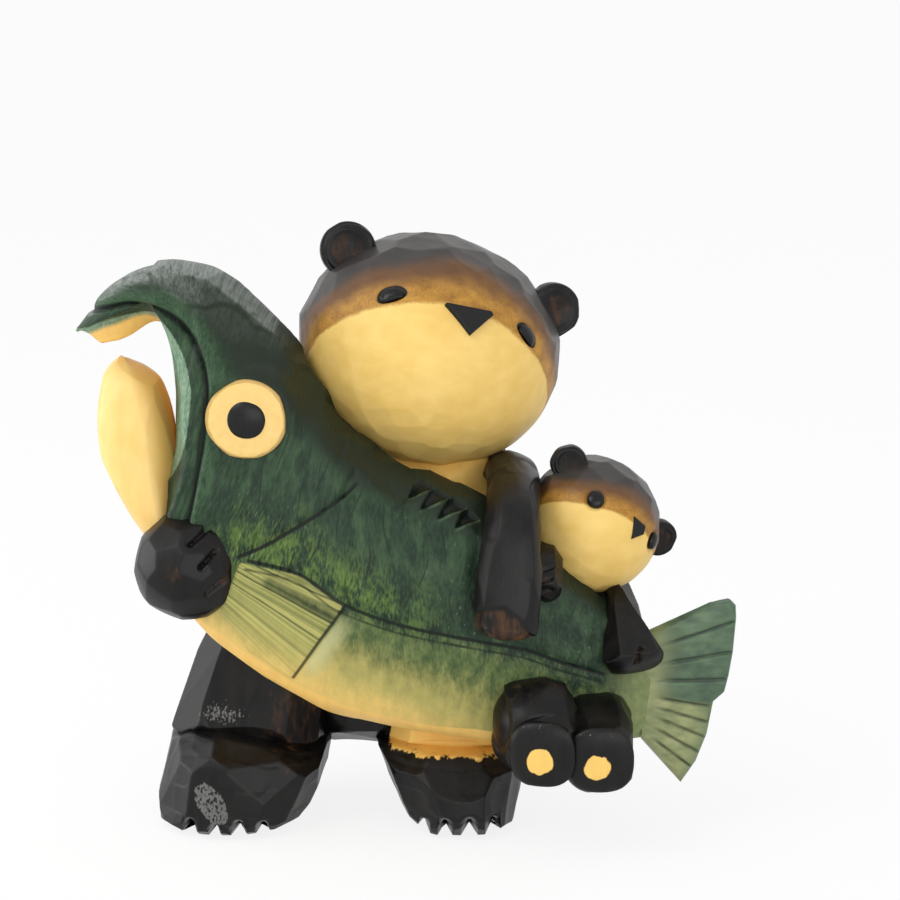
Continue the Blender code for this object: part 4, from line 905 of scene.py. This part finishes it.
def eye_insert(seat, half_long, half_high, proud, flat):
    """Half-moon bead: an oval dome, flattened below, whose height falls off as the square root from its
    middle."""
    centre, out, across, upward = seat
    angle = round_angles(96)[None]
    share = np.sin(np.linspace(0.02, 1.0, 40) * math.pi / 2)[:, None]
    x = np.cos(angle) * share
    y = np.maximum(np.sin(angle), -flat) * share
    rise = proud * np.sqrt(np.maximum(0.0, 1 - share ** 2)) + 0 * angle
    dome = (centre + across * (x * half_long)[..., None] + upward * (y * half_high)[..., None]
            + out * rise[..., None])
    skirt = dome[-1] - out * np.linspace(0.3, 2.0, 6)[:, None, None]
    return np.concatenate([dome, skirt])


def nose_insert(seat, corners, proud, bevel):
    """Flat-topped plug with straight sides: an outline, filled towards its middle, with a small bevel."""
    centre, out, across, upward = seat
    corners = np.asarray(corners, float)
    steps = np.linspace(0, 1, 24, endpoint=False)[:, None]
    outline = np.concatenate([a + (b - a) * steps for a, b in zip(corners, np.roll(corners, -1, 0))])
    middle = outline.mean(0)
    shares = np.array([0.04, 0.2, 0.4, 0.6, 0.8, 1 - bevel, 1 - bevel / 3, 1.0, 1.0, 1.0])
    rises = np.array([proud] * 6 + [proud - 0.08, proud - 0.3, 0.0, -1.6])
    flat_place = middle + (outline - middle) * shares[:, None, None]
    return centre + across * flat_place[..., :1] + upward * flat_place[..., 1:] + out * rises[:, None, None]


EAR_PROFILE = [(0.02, 0.42), (0.3, 0.45), (0.55, 0.54), (0.75, 0.64), (0.88, 0.6), (0.97, 0.4), (1.0, 0.05),
               (0.97, -0.45), (0.75, -0.85), (0.4, -1.0), (0.02, -1.04)]


def ear_shape(head, way, lean, radius, depth, rise):
    """Round ear: a profile with a hollow front, a thick rim and a domed back, carried round the ear's own
    axis."""
    lean = np.array([way * math.sin(math.radians(lean)), 0.0, math.cos(math.radians(lean))])
    reach = 1.0 / math.hypot(lean[0] / head.half[0], lean[2] / head.half[2])
    out = head.turn @ lean
    centre = head.centre + out * (reach + rise)
    front = unit(-head.turn[:, 1] * 0.94 + out * 0.2)
    upward = unit(out - front * (out @ front))
    across = np.cross(front, upward)
    profile = smooth(EAR_PROFILE, np.linspace(0, 1, 110))[:, None]
    angle = round_angles(150)[None]
    across_place = profile[..., 0] * np.cos(angle) * radius
    up_place = profile[..., 0] * np.sin(angle) * radius
    ear = (centre + across * across_place[..., None] + upward * up_place[..., None]
           + front * (profile[..., 1:] * depth))
    return ear, profile[..., 0] + 0 * angle, profile[..., 1] + 0 * angle


print("heads, mm across:", 2 * MOTHER.half[0], "and", 2 * CUB.half[0])

# %% [markdown]
# Both bears have the same kind of face: eyes and a nose of gloss black let into the egg, and an arch where
# the cream ends. One function makes either head from its own numbers, so that both are carved alike.

# %% Both heads
def make_head(owner, head, eyes, nose, arch, cuts, rows, columns):
    """Head with its eyes and nose. Arch holds the height of the cream's edge, its fall, which grows with the
    square of the angle from its middle, and that middle, in degrees."""
    ways = head.grid(nose["side"], nose["up"], rows, columns)
    skull = head.surface(ways)
    side, up = side_up(ways)
    top, fall, middle = arch
    above = up - (top - fall * (side - middle) ** 2)
    heights = facets(skull, cuts[0], 0.001, 2.0, 11) * (0.2 + 0.7 * ramp(above, 5, 30))
    small = 0.2 + 0.6 * ramp(above, -40, -62) + 0.15 * ramp(above, 5, 25)
    heights += facets(skull, cuts[1], 0.008, 3.0, 12) * small
    sockets = np.full(side.shape, -1.0)
    for name, way in (("left", 1), ("right", -1)):
        seat = head.seat(way * eyes["side"] + eyes["shift"], eyes["up"], way * -eyes["slope"])
        bead = eye_insert(seat, eyes["long"] / 2, eyes["high"] / 2, eyes["proud"], eyes["flat"])
        add_piece(f"{owner}_{name}_eye", bead, "gloss_black", matt=0.0)
        offset = skull - seat[0]
        rise = offset @ seat[3] / (eyes["high"] / 2)
        oval = np.hypot(offset @ seat[2] / (eyes["long"] / 2), np.where(rise < 0, rise / eyes["flat"], rise))
        near = np.linalg.norm(offset, axis=-1) < eyes["long"] * 1.5
        sockets = np.where(near, np.maximum(sockets, eyes["ring"] - oval), sockets)
        heights -= np.where(near, 0.5 * ramp(oval, 1.5, 1.05), 0.0)
    skull = raise_by(skull, heights)
    add_piece(f"{owner}_head", skull, "face_paint", arch=above, socket=sockets)
    seat = head.seat(nose["side"], nose["up"])
    plug = nose_insert(seat, nose["corners"], nose["proud"], 0.12)
    add_piece(f"{owner}_nose", plug, "gloss_black", matt=1.0)


make_head("mother", MOTHER,
          {"side": 36.5, "shift": 0.0, "up": 25.4, "slope": 22.0, "long": 5.0, "high": 3.8, "proud": 0.7,
           "flat": 0.55, "ring": 1.36},
          {"side": 1.5, "up": 26.8, "proud": 0.9,
           "corners": [(1.3, -3.7), (5.3, 2.0), (4.7, 2.6), (-5.0, 1.6), (-5.1, 1.2)]},
          (30.5, 0.0085, 0.0), (7.0, 4.0), 220, 400)
make_head("cub", CUB,
          {"side": 41.0, "shift": 5.0, "up": 27.0, "slope": 10.0, "long": 3.5, "high": 3.7, "proud": 0.8,
           "flat": 1.0, "ring": 1.12},
          {"side": 13.0, "up": 28.5, "proud": 0.4,
           "corners": [(0.2, -2.3), (2.3, 0.2), (1.7, 1.9), (-1.9, 1.9)]},
          (31.5, 0.0066, 8.0), (4.6, 2.8), 160, 260)

# %% [markdown]
# The ears are small buttons with a hollow front. A squashed sphere would have no rim, so a profile with a rim
# is carried round each ear's own axis. Brown shows in the hollow.

# %% Ears
EARS = [("mother", MOTHER, 56.0, 0.0, 5.6, 3.4, 1.3), ("cub", CUB, 65.0, 5.0, 3.6, 2.6, 0.6)]
for owner, head, lean, tuck, radius, depth, rise in EARS:
    for name, way in (("left", 1), ("right", -1)):
        ear, reach, front = ear_shape(head, way, lean - (tuck if way < 0 else 0.0), radius, depth, rise)
        ear = raise_by(ear, 0.7 * facets(ear, 3.6, 0.002, 3.0, 21))
        add_black(f"{owner}_{name}_ear", ear, stain=0.55 * ramp(reach, 0.8, 0.45) * (front > 0))

# %% [markdown]
# ## Mother bear's trunk
#
# The trunk is a stack of ovals, mostly hidden by the fish, with a full chest that reaches the fish's back. A
# sphere could be scaled to it, but rows of sizes set the hip, the waist and the shoulders apart.

# %% Trunk
TRUNK_ROWS = [(0.00, 0.50, 0.50), (0.05, 0.82, 0.80), (0.15, 0.96, 0.94), (0.33, 1.00, 1.00),
              (0.52, 0.97, 0.98), (0.70, 0.88, 0.92), (0.85, 0.74, 0.79), (0.95, 0.57, 0.62),
              (1.00, 0.30, 0.32)]
TRUNK_SEAT, TRUNK_SIZE, HIP_SHIFT = np.array([4.2, 14.8, 14.0]), np.array([53.0, 42.0, 66.0]), 8.0
rows = smooth(TRUNK_ROWS, np.linspace(0, 1, 200))[:, None]
angle = round_angles(260)[None]
x = rows[..., 1] * TRUNK_SIZE[0] / 2 * np.cos(angle) - HIP_SHIFT * (1 - rows[..., 0])
y = rows[..., 2] * TRUNK_SIZE[1] / 2 * np.sin(angle)
trunk = TRUNK_SEAT + np.stack([x, y, rows[..., 0] * TRUNK_SIZE[2] + 0 * angle], -1)
trunk = raise_by(trunk, facets(trunk, 10.0, 0.002, 3.0, 31, (1, 1, 0.6)))


def cream_patches(points):
    """Distance inside the cream on the chest, over the fish, and on the belly, under it, seen from the
    front."""
    x, y, z = np.moveaxis(points, -1, 0)
    chest = np.minimum.reduce([x + 8.0, 20.0 - x, z - 64.0, 9.0 - y])
    belly = np.minimum.reduce([x + 4.6, 19.5 - x, z - 16.6 + 0.05 * x, 6.0 - y])
    return np.maximum(chest, np.minimum(belly, 24.0 - z))


add_black("mother_torso", trunk, cream=cream_patches(trunk))

# %% [markdown]
# ## Mother bear's legs
#
# A leg and its foot are one block: a stack of rounded ovals that leans from the hip to broad toes. A crease
# marks the ankle, and notches part the toes. The knife cuts of foot and shank are worked out separately, so
# that the ankle stays crisp.

# %% Legs
ANKLE = 17.4


def leg(node, rows, toes, crease, worn, seed):
    """Leg from sole to hip. A row gives height, left, right, front and back; each ring is an oval between
    them, a little squarer than an ellipse. The crease over the foot is lifted along its length, and notches
    part the toes. Worn is the amount of brown on the inner side and of a painted highlight, stippled grey,
    over the ankle and on a toe."""
    height = np.concatenate([np.linspace(0.0, 22.0, 130), np.linspace(22.4, rows[-1][0], 50)])
    rows = np.asarray(rows, float)
    left, right, front, back = (np.interp(height, rows[:, 0], rows[:, k])[:, None] for k in range(1, 5))
    angle = round_angles(300)[None]
    x = (left + right) / 2 + (right - left) / 2 * signed_power(np.cos(angle), 0.86)
    y = (front + back) / 2 + (back - front) / 2 * signed_power(np.sin(angle), 0.86)
    lift = np.interp(x, *np.transpose(crease)) * np.clip(-y / 6.0, 0.3, 1.0)
    z = height[:, None] + lift * np.exp(-((height[:, None] - 17.5) / 7.0) ** 2)
    shape = np.stack([x, y, z], -1)
    lifted = ramp(height, 0.0, 1.5)[:, None]
    ankle = int(np.searchsorted(height, ANKLE))
    foot = facets(shape[:ankle], 8.5, 0.001, 3.0, seed)
    foot = foot + 0.3 * facets(shape[:ankle], 4.5, 0.006, 4.0, seed + 5)
    shank = facets(shape[ankle:], 8.0, 0.0005, 3.0, seed + 1, (1.0, 1.0, 0.3))
    heights = np.concatenate([foot, shank])
    shape = raise_by(shape, heights * lifted * ramp(np.abs(height - ANKLE), 0.2, 1.4)[:, None])
    shape[..., 2] = np.maximum(shape[..., 2], 0.0)
    ahead = ramp(-shape[..., 1], 2.0, 8.0)
    across, high_up = shape[..., 0], shape[..., 2]
    notch = np.max([np.clip(1 - np.abs(across - toe) / wide, 0, 1) * ramp(high_up, high, high * 0.3)
                    for toe, high, wide in toes], 0)
    shape[..., 1] += 9.0 * notch * ahead
    inner = np.hypot(shape[..., 0] + 24.5, 0.7 * (shape[..., 2] - 24.0))
    stain = 0.45 * ramp(notch * ahead, 0.1, 0.5) + worn * 0.42 * ramp(inner, 10.0, 4.0)
    # Painted highlight: stippled grey over the ankle and on a toe, where the lacquer would mirror the room.
    scuff = 1.2 * np.exp(-((shape[..., 0] + 39.5) / 8.5) ** 2 - ((shape[..., 2] - 24.6) / 3.4) ** 2)
    toe_x, toe_z = shape[..., 0] + 41.1, shape[..., 2] - 7.9
    scuff += 1.3 * ramp(np.hypot((toe_x + 0.4 * toe_z) / 3.6, toe_z / 4.8), 1.1, 0.8)
    scuff = scuff * worn * ahead - 0.6
    add_black(node, shape, stain, cream_patches(shape) if rows[0][1] > 0 else -5.0, scuff)


LEFT_LEG = [
    (0.0, 2.0, 21.6, -15.5, 20.0), (1.0, 0.6, 22.8, -18.0, 21.4), (5.0, -2.6, 23.6, -19.8, 22.0),
    (10.0, -5.0, 24.0, -19.2, 22.0), (14.5, -6.6, 24.0, -16.4, 21.5), (17.0, -7.6, 23.4, -12.8, 21.0),
    (17.5, -6.6, 22.4, -9.4, 20.4), (18.5, -6.8, 22.8, -10.4, 20.5), (30.0, -5.5, 21.5, -9.6, 20.0),
    (41.0, -5.0, 19.5, -8.6, 19.0), (44.0, -3.0, 17.5, -6.5, 17.0),
]
LEFT_TOES = [(3.2, 4.6, 1.3), (7.6, 5.8, 1.6), (12.7, 6.2, 1.8), (17.6, 5.6, 1.6)]
LEFT_CREASE = [(-7.0, 0.6), (24.0, -0.6)]
RIGHT_LEG = [
    (0.0, -51.6, -25.5, -15.5, 20.0), (1.0, -52.8, -23.6, -18.0, 21.4), (5.0, -53.2, -20.2, -20.0, 22.0),
    (10.0, -52.6, -18.2, -19.4, 22.0), (14.5, -51.6, -17.4, -16.6, 21.5), (17.0, -50.8, -17.2, -12.8, 21.0),
    (17.5, -50.2, -17.8, -9.8, 20.6), (18.5, -50.2, -17.6, -10.4, 20.6), (30.0, -46.6, -15.8, -9.6, 20.0),
    (41.0, -41.0, -12.5, -8.4, 19.5), (45.0, -36.0, -13.0, -6.0, 17.0),
]
RIGHT_TOES = [(-45.8, 5.2, 1.6), (-40.6, 4.4, 1.3), (-35.6, 5.2, 1.7), (-30.6, 4.8, 1.5)]
RIGHT_CREASE = [(-52.0, 0.6), (-45.0, 2.8), (-38.0, 3.2), (-28.0, 0.8), (-17.0, -2.2)]
leg("mother_left_leg", LEFT_LEG, LEFT_TOES, LEFT_CREASE, 0.0, 41)
leg("mother_right_leg", RIGHT_LEG, RIGHT_TOES, RIGHT_CREASE, 1.0, 42)

# %% [markdown]
# ## Limbs
#
# Arms and the cub's legs are an oval section carried along a curved path. The section's side is carried
# back from the end of the path without twisting, and both ends are rounded off like a thumb.

# %% Limb helper
LENGTHWISE = (0.4, 1.0, 1.0)


def limb(path, widths, depths, caps, stations=150, around=150, power=1.0):
    """Grid along a path, with each station's distance from the start and from the end, and the same limb
    laid out straight, on which cuts are made. Over each cap's length the section shrinks as a quarter
    circle does."""
    path = np.asarray(path, float)
    fine = np.linspace(0, 1, 600)
    course = smooth(path, fine)
    length = np.concatenate([[0], np.linalg.norm(np.diff(course, axis=0), axis=1).cumsum()])
    bend = np.linspace(0.03, math.pi / 2, 26)
    start = caps[0] * (1 - np.cos(bend))
    end = length[-1] - caps[1] * (1 - np.cos(bend))[::-1]
    far = np.concatenate([start, np.linspace(start[-1], end[0], stations)[1:-1], end])
    share = np.interp(far, length, fine)
    middles = smooth(path, share)
    ahead = unit(np.gradient(middles, far, axis=0))
    sides = np.empty_like(middles)
    side = RIGHT
    for k in reversed(range(len(far))):
        side = unit(side - ahead[k] * (side @ ahead[k]))
        sides[k] = side
    fronts = np.cross(sides, ahead)
    left, rest = far / caps[0], (length[-1] - far) / caps[1]
    shrink = (np.sqrt(np.clip(1 - np.clip(1 - left, 0, 1) ** 2, 0, 1))
              * np.sqrt(np.clip(1 - np.clip(1 - rest, 0, 1) ** 2, 0, 1)))
    half_wide = smooth(np.asarray(widths, float)[:, None], share)[:, 0] / 2 * shrink
    half_deep = smooth(np.asarray(depths, float)[:, None], share)[:, 0] / 2 * shrink
    angle = round_angles(around)[None]
    x, y = signed_power(np.cos(angle), power), signed_power(np.sin(angle), power)
    grid = (middles[:, None] + sides[:, None] * (half_wide[:, None] * x)[..., None]
            + fronts[:, None] * (half_deep[:, None] * y)[..., None])
    straight = np.stack([far[:, None] + 0 * angle, half_wide[:, None] * x, half_deep[:, None] * y], -1)
    return grid, far[:, None] + 0 * angle, (length[-1] - far)[:, None] + 0 * angle, straight


def claw_distance(arm, claws):
    """Distance from each point of an arm to the nearest of a few short lines, seen from the front."""
    return np.min([line_distance(arm[..., [0, 2]], line) for line in claws], 0)


print("cuts along a limb are", 1 / LENGTHWISE[0], "times as long as they are wide")

# %% [markdown]
# ## Mother bear's arms
#
# The left arm comes over the fish's back and ends in a rough cut. Its path is tied to points of the fish's
# surface, so that the hand lies on it. Points typed in by eye would leave a gap or sink in.

# %% Left arm
TRUNK_TOP = TRUNK_SEAT + UP * TRUNK_SIZE[2]
TAPER = np.array([0.66, 0.7, 0.81, 0.85, 1.0, 0.98])
ARM_ALONG = 0.20
back_edge = fish_point(ARM_ALONG, 1.0)
path = [TRUNK_TOP + (9.0, -1.0, -14.0), TRUNK_TOP + (15.0, -3.0, -7.4), back_edge + (0.6, 4.4, 7.4),
        back_edge + (0.5, -12.6, 3.1), fish_skin(ARM_ALONG, 0.55, -1) - BACK * 5.2,
        fish_skin(ARM_ALONG, 0.10, -1) - BACK * 5.2]
arm, _, _, straight = limb(path, 13.4 * TAPER, 10.4 * TAPER, (5.0, 3.5), power=0.86)
heights = 0.55 * facets(straight, 5.4, 0.0005, 2.0, 55, (0.45, 1.0, 1.0))
heights += 0.12 * facets(straight, 3.2, 0.01, 4.0, 57, LENGTHWISE)
HAND_CUT = [(9.0, 50.0), (14.9, 53.4), (19.5, 54.0), (22.7, 51.5), (24.2, 49.4), (28.0, 44.0), (18.0, 38.0),
            (9.0, 42.0)]
HAND_SPOTS = np.array([(16.3, 50.7), (15.6, 48.4)])
front = arm[..., [0, 2]]
end_cut = np.where(arm[..., 1] < -24, inside_distance(front, HAND_CUT), -9.0)
spots = np.min([np.linalg.norm(front - fin_edge_highlight, axis=-1) for fin_edge_highlight in HAND_SPOTS], 0)
rough = facets(arm, 1.5, 0.05, 8.0, 58)
arm = raise_by(arm, heights + (0.8 * rough - 0.7) * ramp(end_cut, -0.2, 0.6))
stain = 0.7 * ramp(end_cut, -0.4, 0.8) * (0.4 + 0.6 * ramp(spots, 0.5, 2.4))
add_black("mother_left_arm", arm, stain)

# %% [markdown]
# The right arm runs behind the fish and comes round under it, with a round paw on the fish's flank. A ball
# joined to a tube would show a seam, so the end of the tube itself is swelled into a ball.

# %% Right arm
PAW_ALONG, PAW_ACROSS = 0.575, -0.72
paw = fish_point(PAW_ALONG, PAW_ACROSS) - BACK * 8.0
behind = fish_skin(PAW_ALONG, PAW_ACROSS, 1) + BACK * 5.2
shoulder = TRUNK_TOP + (-22.0, 9.0, -10.0)
edge = fish_point(PAW_ALONG, -0.9)
PAW_RADIUS = 11.2
path = [TRUNK_TOP + (-9.0, 7.0, -14.0), shoulder, (shoulder + behind) / 2 + (-4.0, 6.0, -2.0), behind, edge,
        paw, paw + unit(paw - edge) * PAW_RADIUS]
width = 14.0 * np.array([0.7, 0.9, 1.0, 1.0, 1.08, 1.0, 1.0])
arm, _, rest, straight = limb(path, width, width, (5.0, 3.0), 220, 270)
ball = unit(arm - paw)
swell = ramp(rest, PAW_RADIUS * 2.1, PAW_RADIUS * 1.5)
arm = arm + (paw + ball * PAW_RADIUS - arm) * swell[..., None]
heights = (facets(straight, 6.0, 0.002, 2.5, 52, LENGTHWISE) * (1 - swell)
           + facets(ball * PAW_RADIUS, 5.2, 0.001, 1.5, 53) * 0.55 * swell)
claws = [[(-43.9, 66.0), (-40.9, 68.1)], [(-41.6, 61.4), (-38.8, 64.1)], [(-40.4, 55.6), (-37.2, 58.1)]]
claw = claw_distance(arm, claws)
claw = np.where(arm[..., 1] < paw[1], claw, 9.0)
arm = raise_by(arm, heights + groove(claw, 1.9, 1.1))
smudge = np.linalg.norm(arm[..., [0, 2]] - (-47.3, 60.0), axis=-1)
stain = 0.6 * ramp(arm[..., 0] - paw[0], 5.5, 9.5) + 0.3 * ramp(claw, 1.2, 0.3) + 0.5 * ramp(smudge, 3.0, 1.0)
add_black("mother_right_arm", arm, stain=stain * swell)

# %% [markdown]
# ## The cub
#
# The cub sits behind the fish and holds it with all four limbs. Its trunk is hardly seen, so a plain egg with
# broad cuts is enough.

# %% Cub's trunk
seat = fish_skin(0.074, 0.0, 1)
middle = seat + BACK * 8.4 + UP * 2.0
trunk_egg = Head(middle, np.eye(3), (10.0, 10.0, 17.0))
cub_trunk = trunk_egg.surface(trunk_egg.grid(0.0, 0.0, 100, 140))
cub_trunk = raise_by(cub_trunk, facets(cub_trunk, 6.0, 0.003, 3.0, 61, (1, 1, 0.6)))
add_black("cub_torso", cub_trunk)

# %% [markdown]
# Both hands lie over the fish's back, with short knife lines between the claws. They are limbs like the
# mother's arms, and each path starts behind the fish and ends on its near side.

# %% Cub's arms
LEFT_HAND, RIGHT_HAND = 0.030, 0.145
over = fish_point(LEFT_HAND, 1.0) + (-3.1, 3.2, 7.6)
end = fish_skin(LEFT_HAND, 0.72, -1) + (0.2, -5.3, -1.0)
path = [middle + (2.0, -3.0, 12.0), over, (over + end) / 2 + (0.0, -0.6, 0.4), end]
arm, _, rest, straight = limb(path, 12.0 * np.array([0.3, 0.3, 0.7, 1.04]),
                              8.6 * np.array([0.6, 0.55, 0.85, 0.95]), (4.0, 1.8), 110, 120, 0.78)
claws = [[(46.6, 39.4), (47.8, 43.0)], [(50.0, 39.8), (51.0, 43.4)]]
claw = claw_distance(arm, claws)
claw = np.where(arm[..., 1] < -22.5, claw, 9.0)
arm = raise_by(arm, facets(straight, 4.6, 0.0, 4.0, 66, (0.12, 1.0, 1.0)) + groove(claw, 1.6, 0.9))
add_black("cub_left_arm", arm, stain=0.45 * ramp(rest, 6.0, 2.0) * ramp(claw, 1.6, 0.4))

over = fish_point(RIGHT_HAND, 1.0) + (-1.6, 2.0, -0.4)
end = fish_skin(RIGHT_HAND, 0.74, -1) + (-1.6, -3.8, -0.9)
path = [over, (over + end) / 2 + (0.0, -1.5, 2.0), end]
width = 7.6 * np.array([0.8, 1.0, 0.9])
arm, _, _, straight = limb(path, width, width, (2.5, 2.5), 90, 110, 0.9)
claws = [[(26.0, 56.7), (29.2, 57.5)], [(26.2, 54.5), (29.4, 55.1)], [(27.2, 59.1), (30.0, 59.7)]]
claw = claw_distance(arm, claws)
arm = raise_by(arm, facets(straight, 3.4, 0.002, 3.0, 63, LENGTHWISE) + groove(claw, 1.1, 0.5))
add_black("cub_right_arm", arm, stain=0.35 * ramp(claw, 1.2, 0.3))

# %% [markdown]
# The soles come through under the fish to the front, each with a brushed cream dot. The two legs differ only
# in a few numbers, so one loop makes both.

# %% Cub's legs
for name, station in (("right", 0.146), ("left", 0.064)):
    sole = fish_point(station, -0.80) + ((0.0, -23.5, 0.0) if name == "right" else (-1.0, -23.5, -0.3))
    heel = sole + BACK * 44.0 + UP * 4.0
    heel[0] = (sole[0] + middle[0]) / 2
    bulge, swell = ((-2.6, 0.0, 2.2), 1.32) if name == "right" else ((-0.8, 0.0, 0.8), 1.1)
    path = [sole, sole + (heel - sole) * 0.12, sole + (heel - sole) * 0.3 + bulge, (sole + heel) / 2, heel]
    taper = np.array([0.95, 1.0, swell, 1.0, 0.8])
    foot, far, _, straight = limb(path, 14.4 * taper, 14.6 * taper, (1.6, 5.0), 120, 150, 0.8)
    cut = facets(straight, 5.0, 0.002, 3.0, 64, LENGTHWISE) * ramp(far, 1.0, 3.0)
    foot = raise_by(foot, cut)
    place = foot[..., [0, 2]] - sole[[0, 2]]
    dot = 2.0 * (2.9 - np.hypot(place[..., 0] + (0.2 if name == "right" else 0.8), place[..., 1] + 1.2))
    # Painted highlight: a streak of stippled grey along the top of each sole.
    scuff = 0.75 * np.exp(-((place[..., 1] - 6.0) / 1.6) ** 2) * ramp(far, 3.5, 2.0) - 0.6
    stain = 0.25 * ramp(far, 4.0, 1.5) * ramp(far, 0.8, 1.5) + 0.35 * ramp(far, 6.0, 12.0) * (name == "right")
    cream = np.where(foot[..., 1] < sole[1] + 2.5, dot, -5.0)
    add_black(f"cub_{name}_leg", foot, stain, cream, scuff)

# %% [markdown]
# ## Dowels
#
# The dowels are hidden in the joints. Their CAD solids stay, in bare wood, because a new surface would never
# be seen.

# %% Dowel wood
for name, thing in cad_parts.items():
    if name.endswith("_dowel") or name.endswith("_pin"):
        thing.data.materials.clear()
        thing.data.materials.append(finishes["dowel_wood"])
print("dowels in bare wood")

# %% [markdown]
# ## Floor
#
# A pale paper floor. Rays from the camera, from mirror-like surfaces and through glass see a nearly white
# one, so no lamp has to burn it white, and it keeps a faint shadow.

# %% Floor
WHITE = (1.0, 1.0, 1.0, 1.0)
floor_mesh = bpy.data.meshes.new("floor")
floor_mesh.from_pydata([(-6, -3, 0), (6, -3, 0), (6, 9, 0), (-6, 9, 0)], [], [(0, 1, 2, 3)])
floor = bpy.data.objects.new("floor", floor_mesh)
bpy.context.scene.collection.objects.link(floor)
start, shader = start_finish("floor_paper")
shader.inputs["Base Color"].default_value = (0.88, 0.88, 0.88, 1.0)
shader.inputs["Roughness"].default_value = 0.9


def background_ray(place):
    """1 for a ray from the camera, from a mirror-like surface or through glass, which all see a white
    background."""
    kinds = ("Camera", "Glossy", "Transmission")
    rays = [place.add("LightPath", {}, {}, output=f"Is {kind} Ray") for kind in kinds]
    return place.math("MAXIMUM", place.math("MAXIMUM", rays[0], rays[1]), rays[2])


white = start.add("Emission", {}, {"Color": WHITE, "Strength": 1.0})
PAPER_WHITE = 0.85
blend = start.add("MixShader", {}, {0: background_ray(start) * PAPER_WHITE, 1: start, 2: white})
floor_tree = finishes["floor_paper"].node_tree
floor_tree.links.new(blend.end, floor_tree.nodes["Material Output"].inputs["Surface"])
floor_mesh.materials.append(finishes["floor_paper"])
print("paper floor laid")

# %% [markdown]
# ## Room and lamps
#
# A small photo tent: soft light from all round, brighter from above and behind, a window from the upper left,
# and a panel in front and on the left. An image of a room would be easier, but the script reads no pictures.

# %% Room
world = bpy.data.worlds.new("tent")
world.use_nodes = True
bpy.context.scene.world = world
air = world.node_tree.nodes["Background"]
air.inputs["Color"].default_value = WHITE
air.inputs["Strength"].default_value = 0.44
dim = Socket(world.node_tree, air.outputs[0])
bright = dim.add("Background", {}, {"Color": WHITE, "Strength": 1.0})
white = dim.add("Background", {}, {"Color": WHITE, "Strength": 1.0})
LIGHT_FROM = unit(np.array([-0.25, 0.35, 0.85]))
facing = dim.add("VectorMath", {"operation": "DOT_PRODUCT"},
                 {0: dim.add("TexCoord", {}, {}), 1: tuple(LIGHT_FROM)}, output="Value")
room = dim.add("MixShader", {}, {0: facing.step(-0.1, 0.95), 1: dim, 2: bright})
room = dim.add("MixShader", {}, {0: background_ray(dim), 1: room, 2: white})
world.node_tree.links.new(room.end, world.node_tree.nodes["World Output"].inputs["Surface"])
print("room strength:", air.inputs["Strength"].default_value)

# %% Lamps
def soft_lamp(name, place, aim, size, power):
    """Square lamp at a place, turned to face a point, all in millimetres."""
    lamp = bpy.data.lights.new(name, "AREA")
    lamp.size = size * MM
    lamp.energy = power
    thing = bpy.data.objects.new(name, lamp)
    bpy.context.scene.collection.objects.link(thing)
    thing.location = np.array(place) * MM
    away = unit(np.array(place, float) - np.array(aim, float))
    flat = math.hypot(away[0], away[1])
    thing.rotation_euler = (math.atan2(flat, away[2]), 0.0, math.atan2(away[0], -away[1]))


soft_lamp("window", (-420, -380, 620), (0, 0, 70), size=400, power=1.6)
soft_lamp("front_panel", (260, -700, 100), (0, 0, 60), size=700, power=2.7)
soft_lamp("left_panel", (-620, 60, 180), (0, 0, 60), size=420, power=1.7)
print(len(bpy.data.lights), "lamps")

# %% [markdown]
# ## Camera
#
# The camera stands well back and looks down a little, as the photograph does. Its lens follows from that
# distance and from the millimetres that one pixel of the photograph stands for.

# %% Camera
AIM = np.array([8.65, 1.8, 79.0])
DISTANCE = 700.0
LIFT = math.radians(12.0)
SENSOR, PHOTO_WIDTH, PIXEL = 36.0, 900, 0.21
camera = bpy.data.objects.new("camera", bpy.data.cameras.new("camera"))
camera.data.sensor_width = SENSOR
camera.data.lens = SENSOR * DISTANCE / (PHOTO_WIDTH * PIXEL)
camera.data.clip_start = 0.01
camera.location = (AIM + DISTANCE * np.array([0.0, -math.cos(LIFT), math.sin(LIFT)])) * MM
camera.rotation_euler = (math.pi / 2 - LIFT, 0.0, 0.0)
bpy.context.scene.collection.objects.link(camera)
bpy.context.scene.camera = camera
bpy.context.scene.view_settings.view_transform = "Standard"
print("camera lens, mm:", round(camera.data.lens, 1))
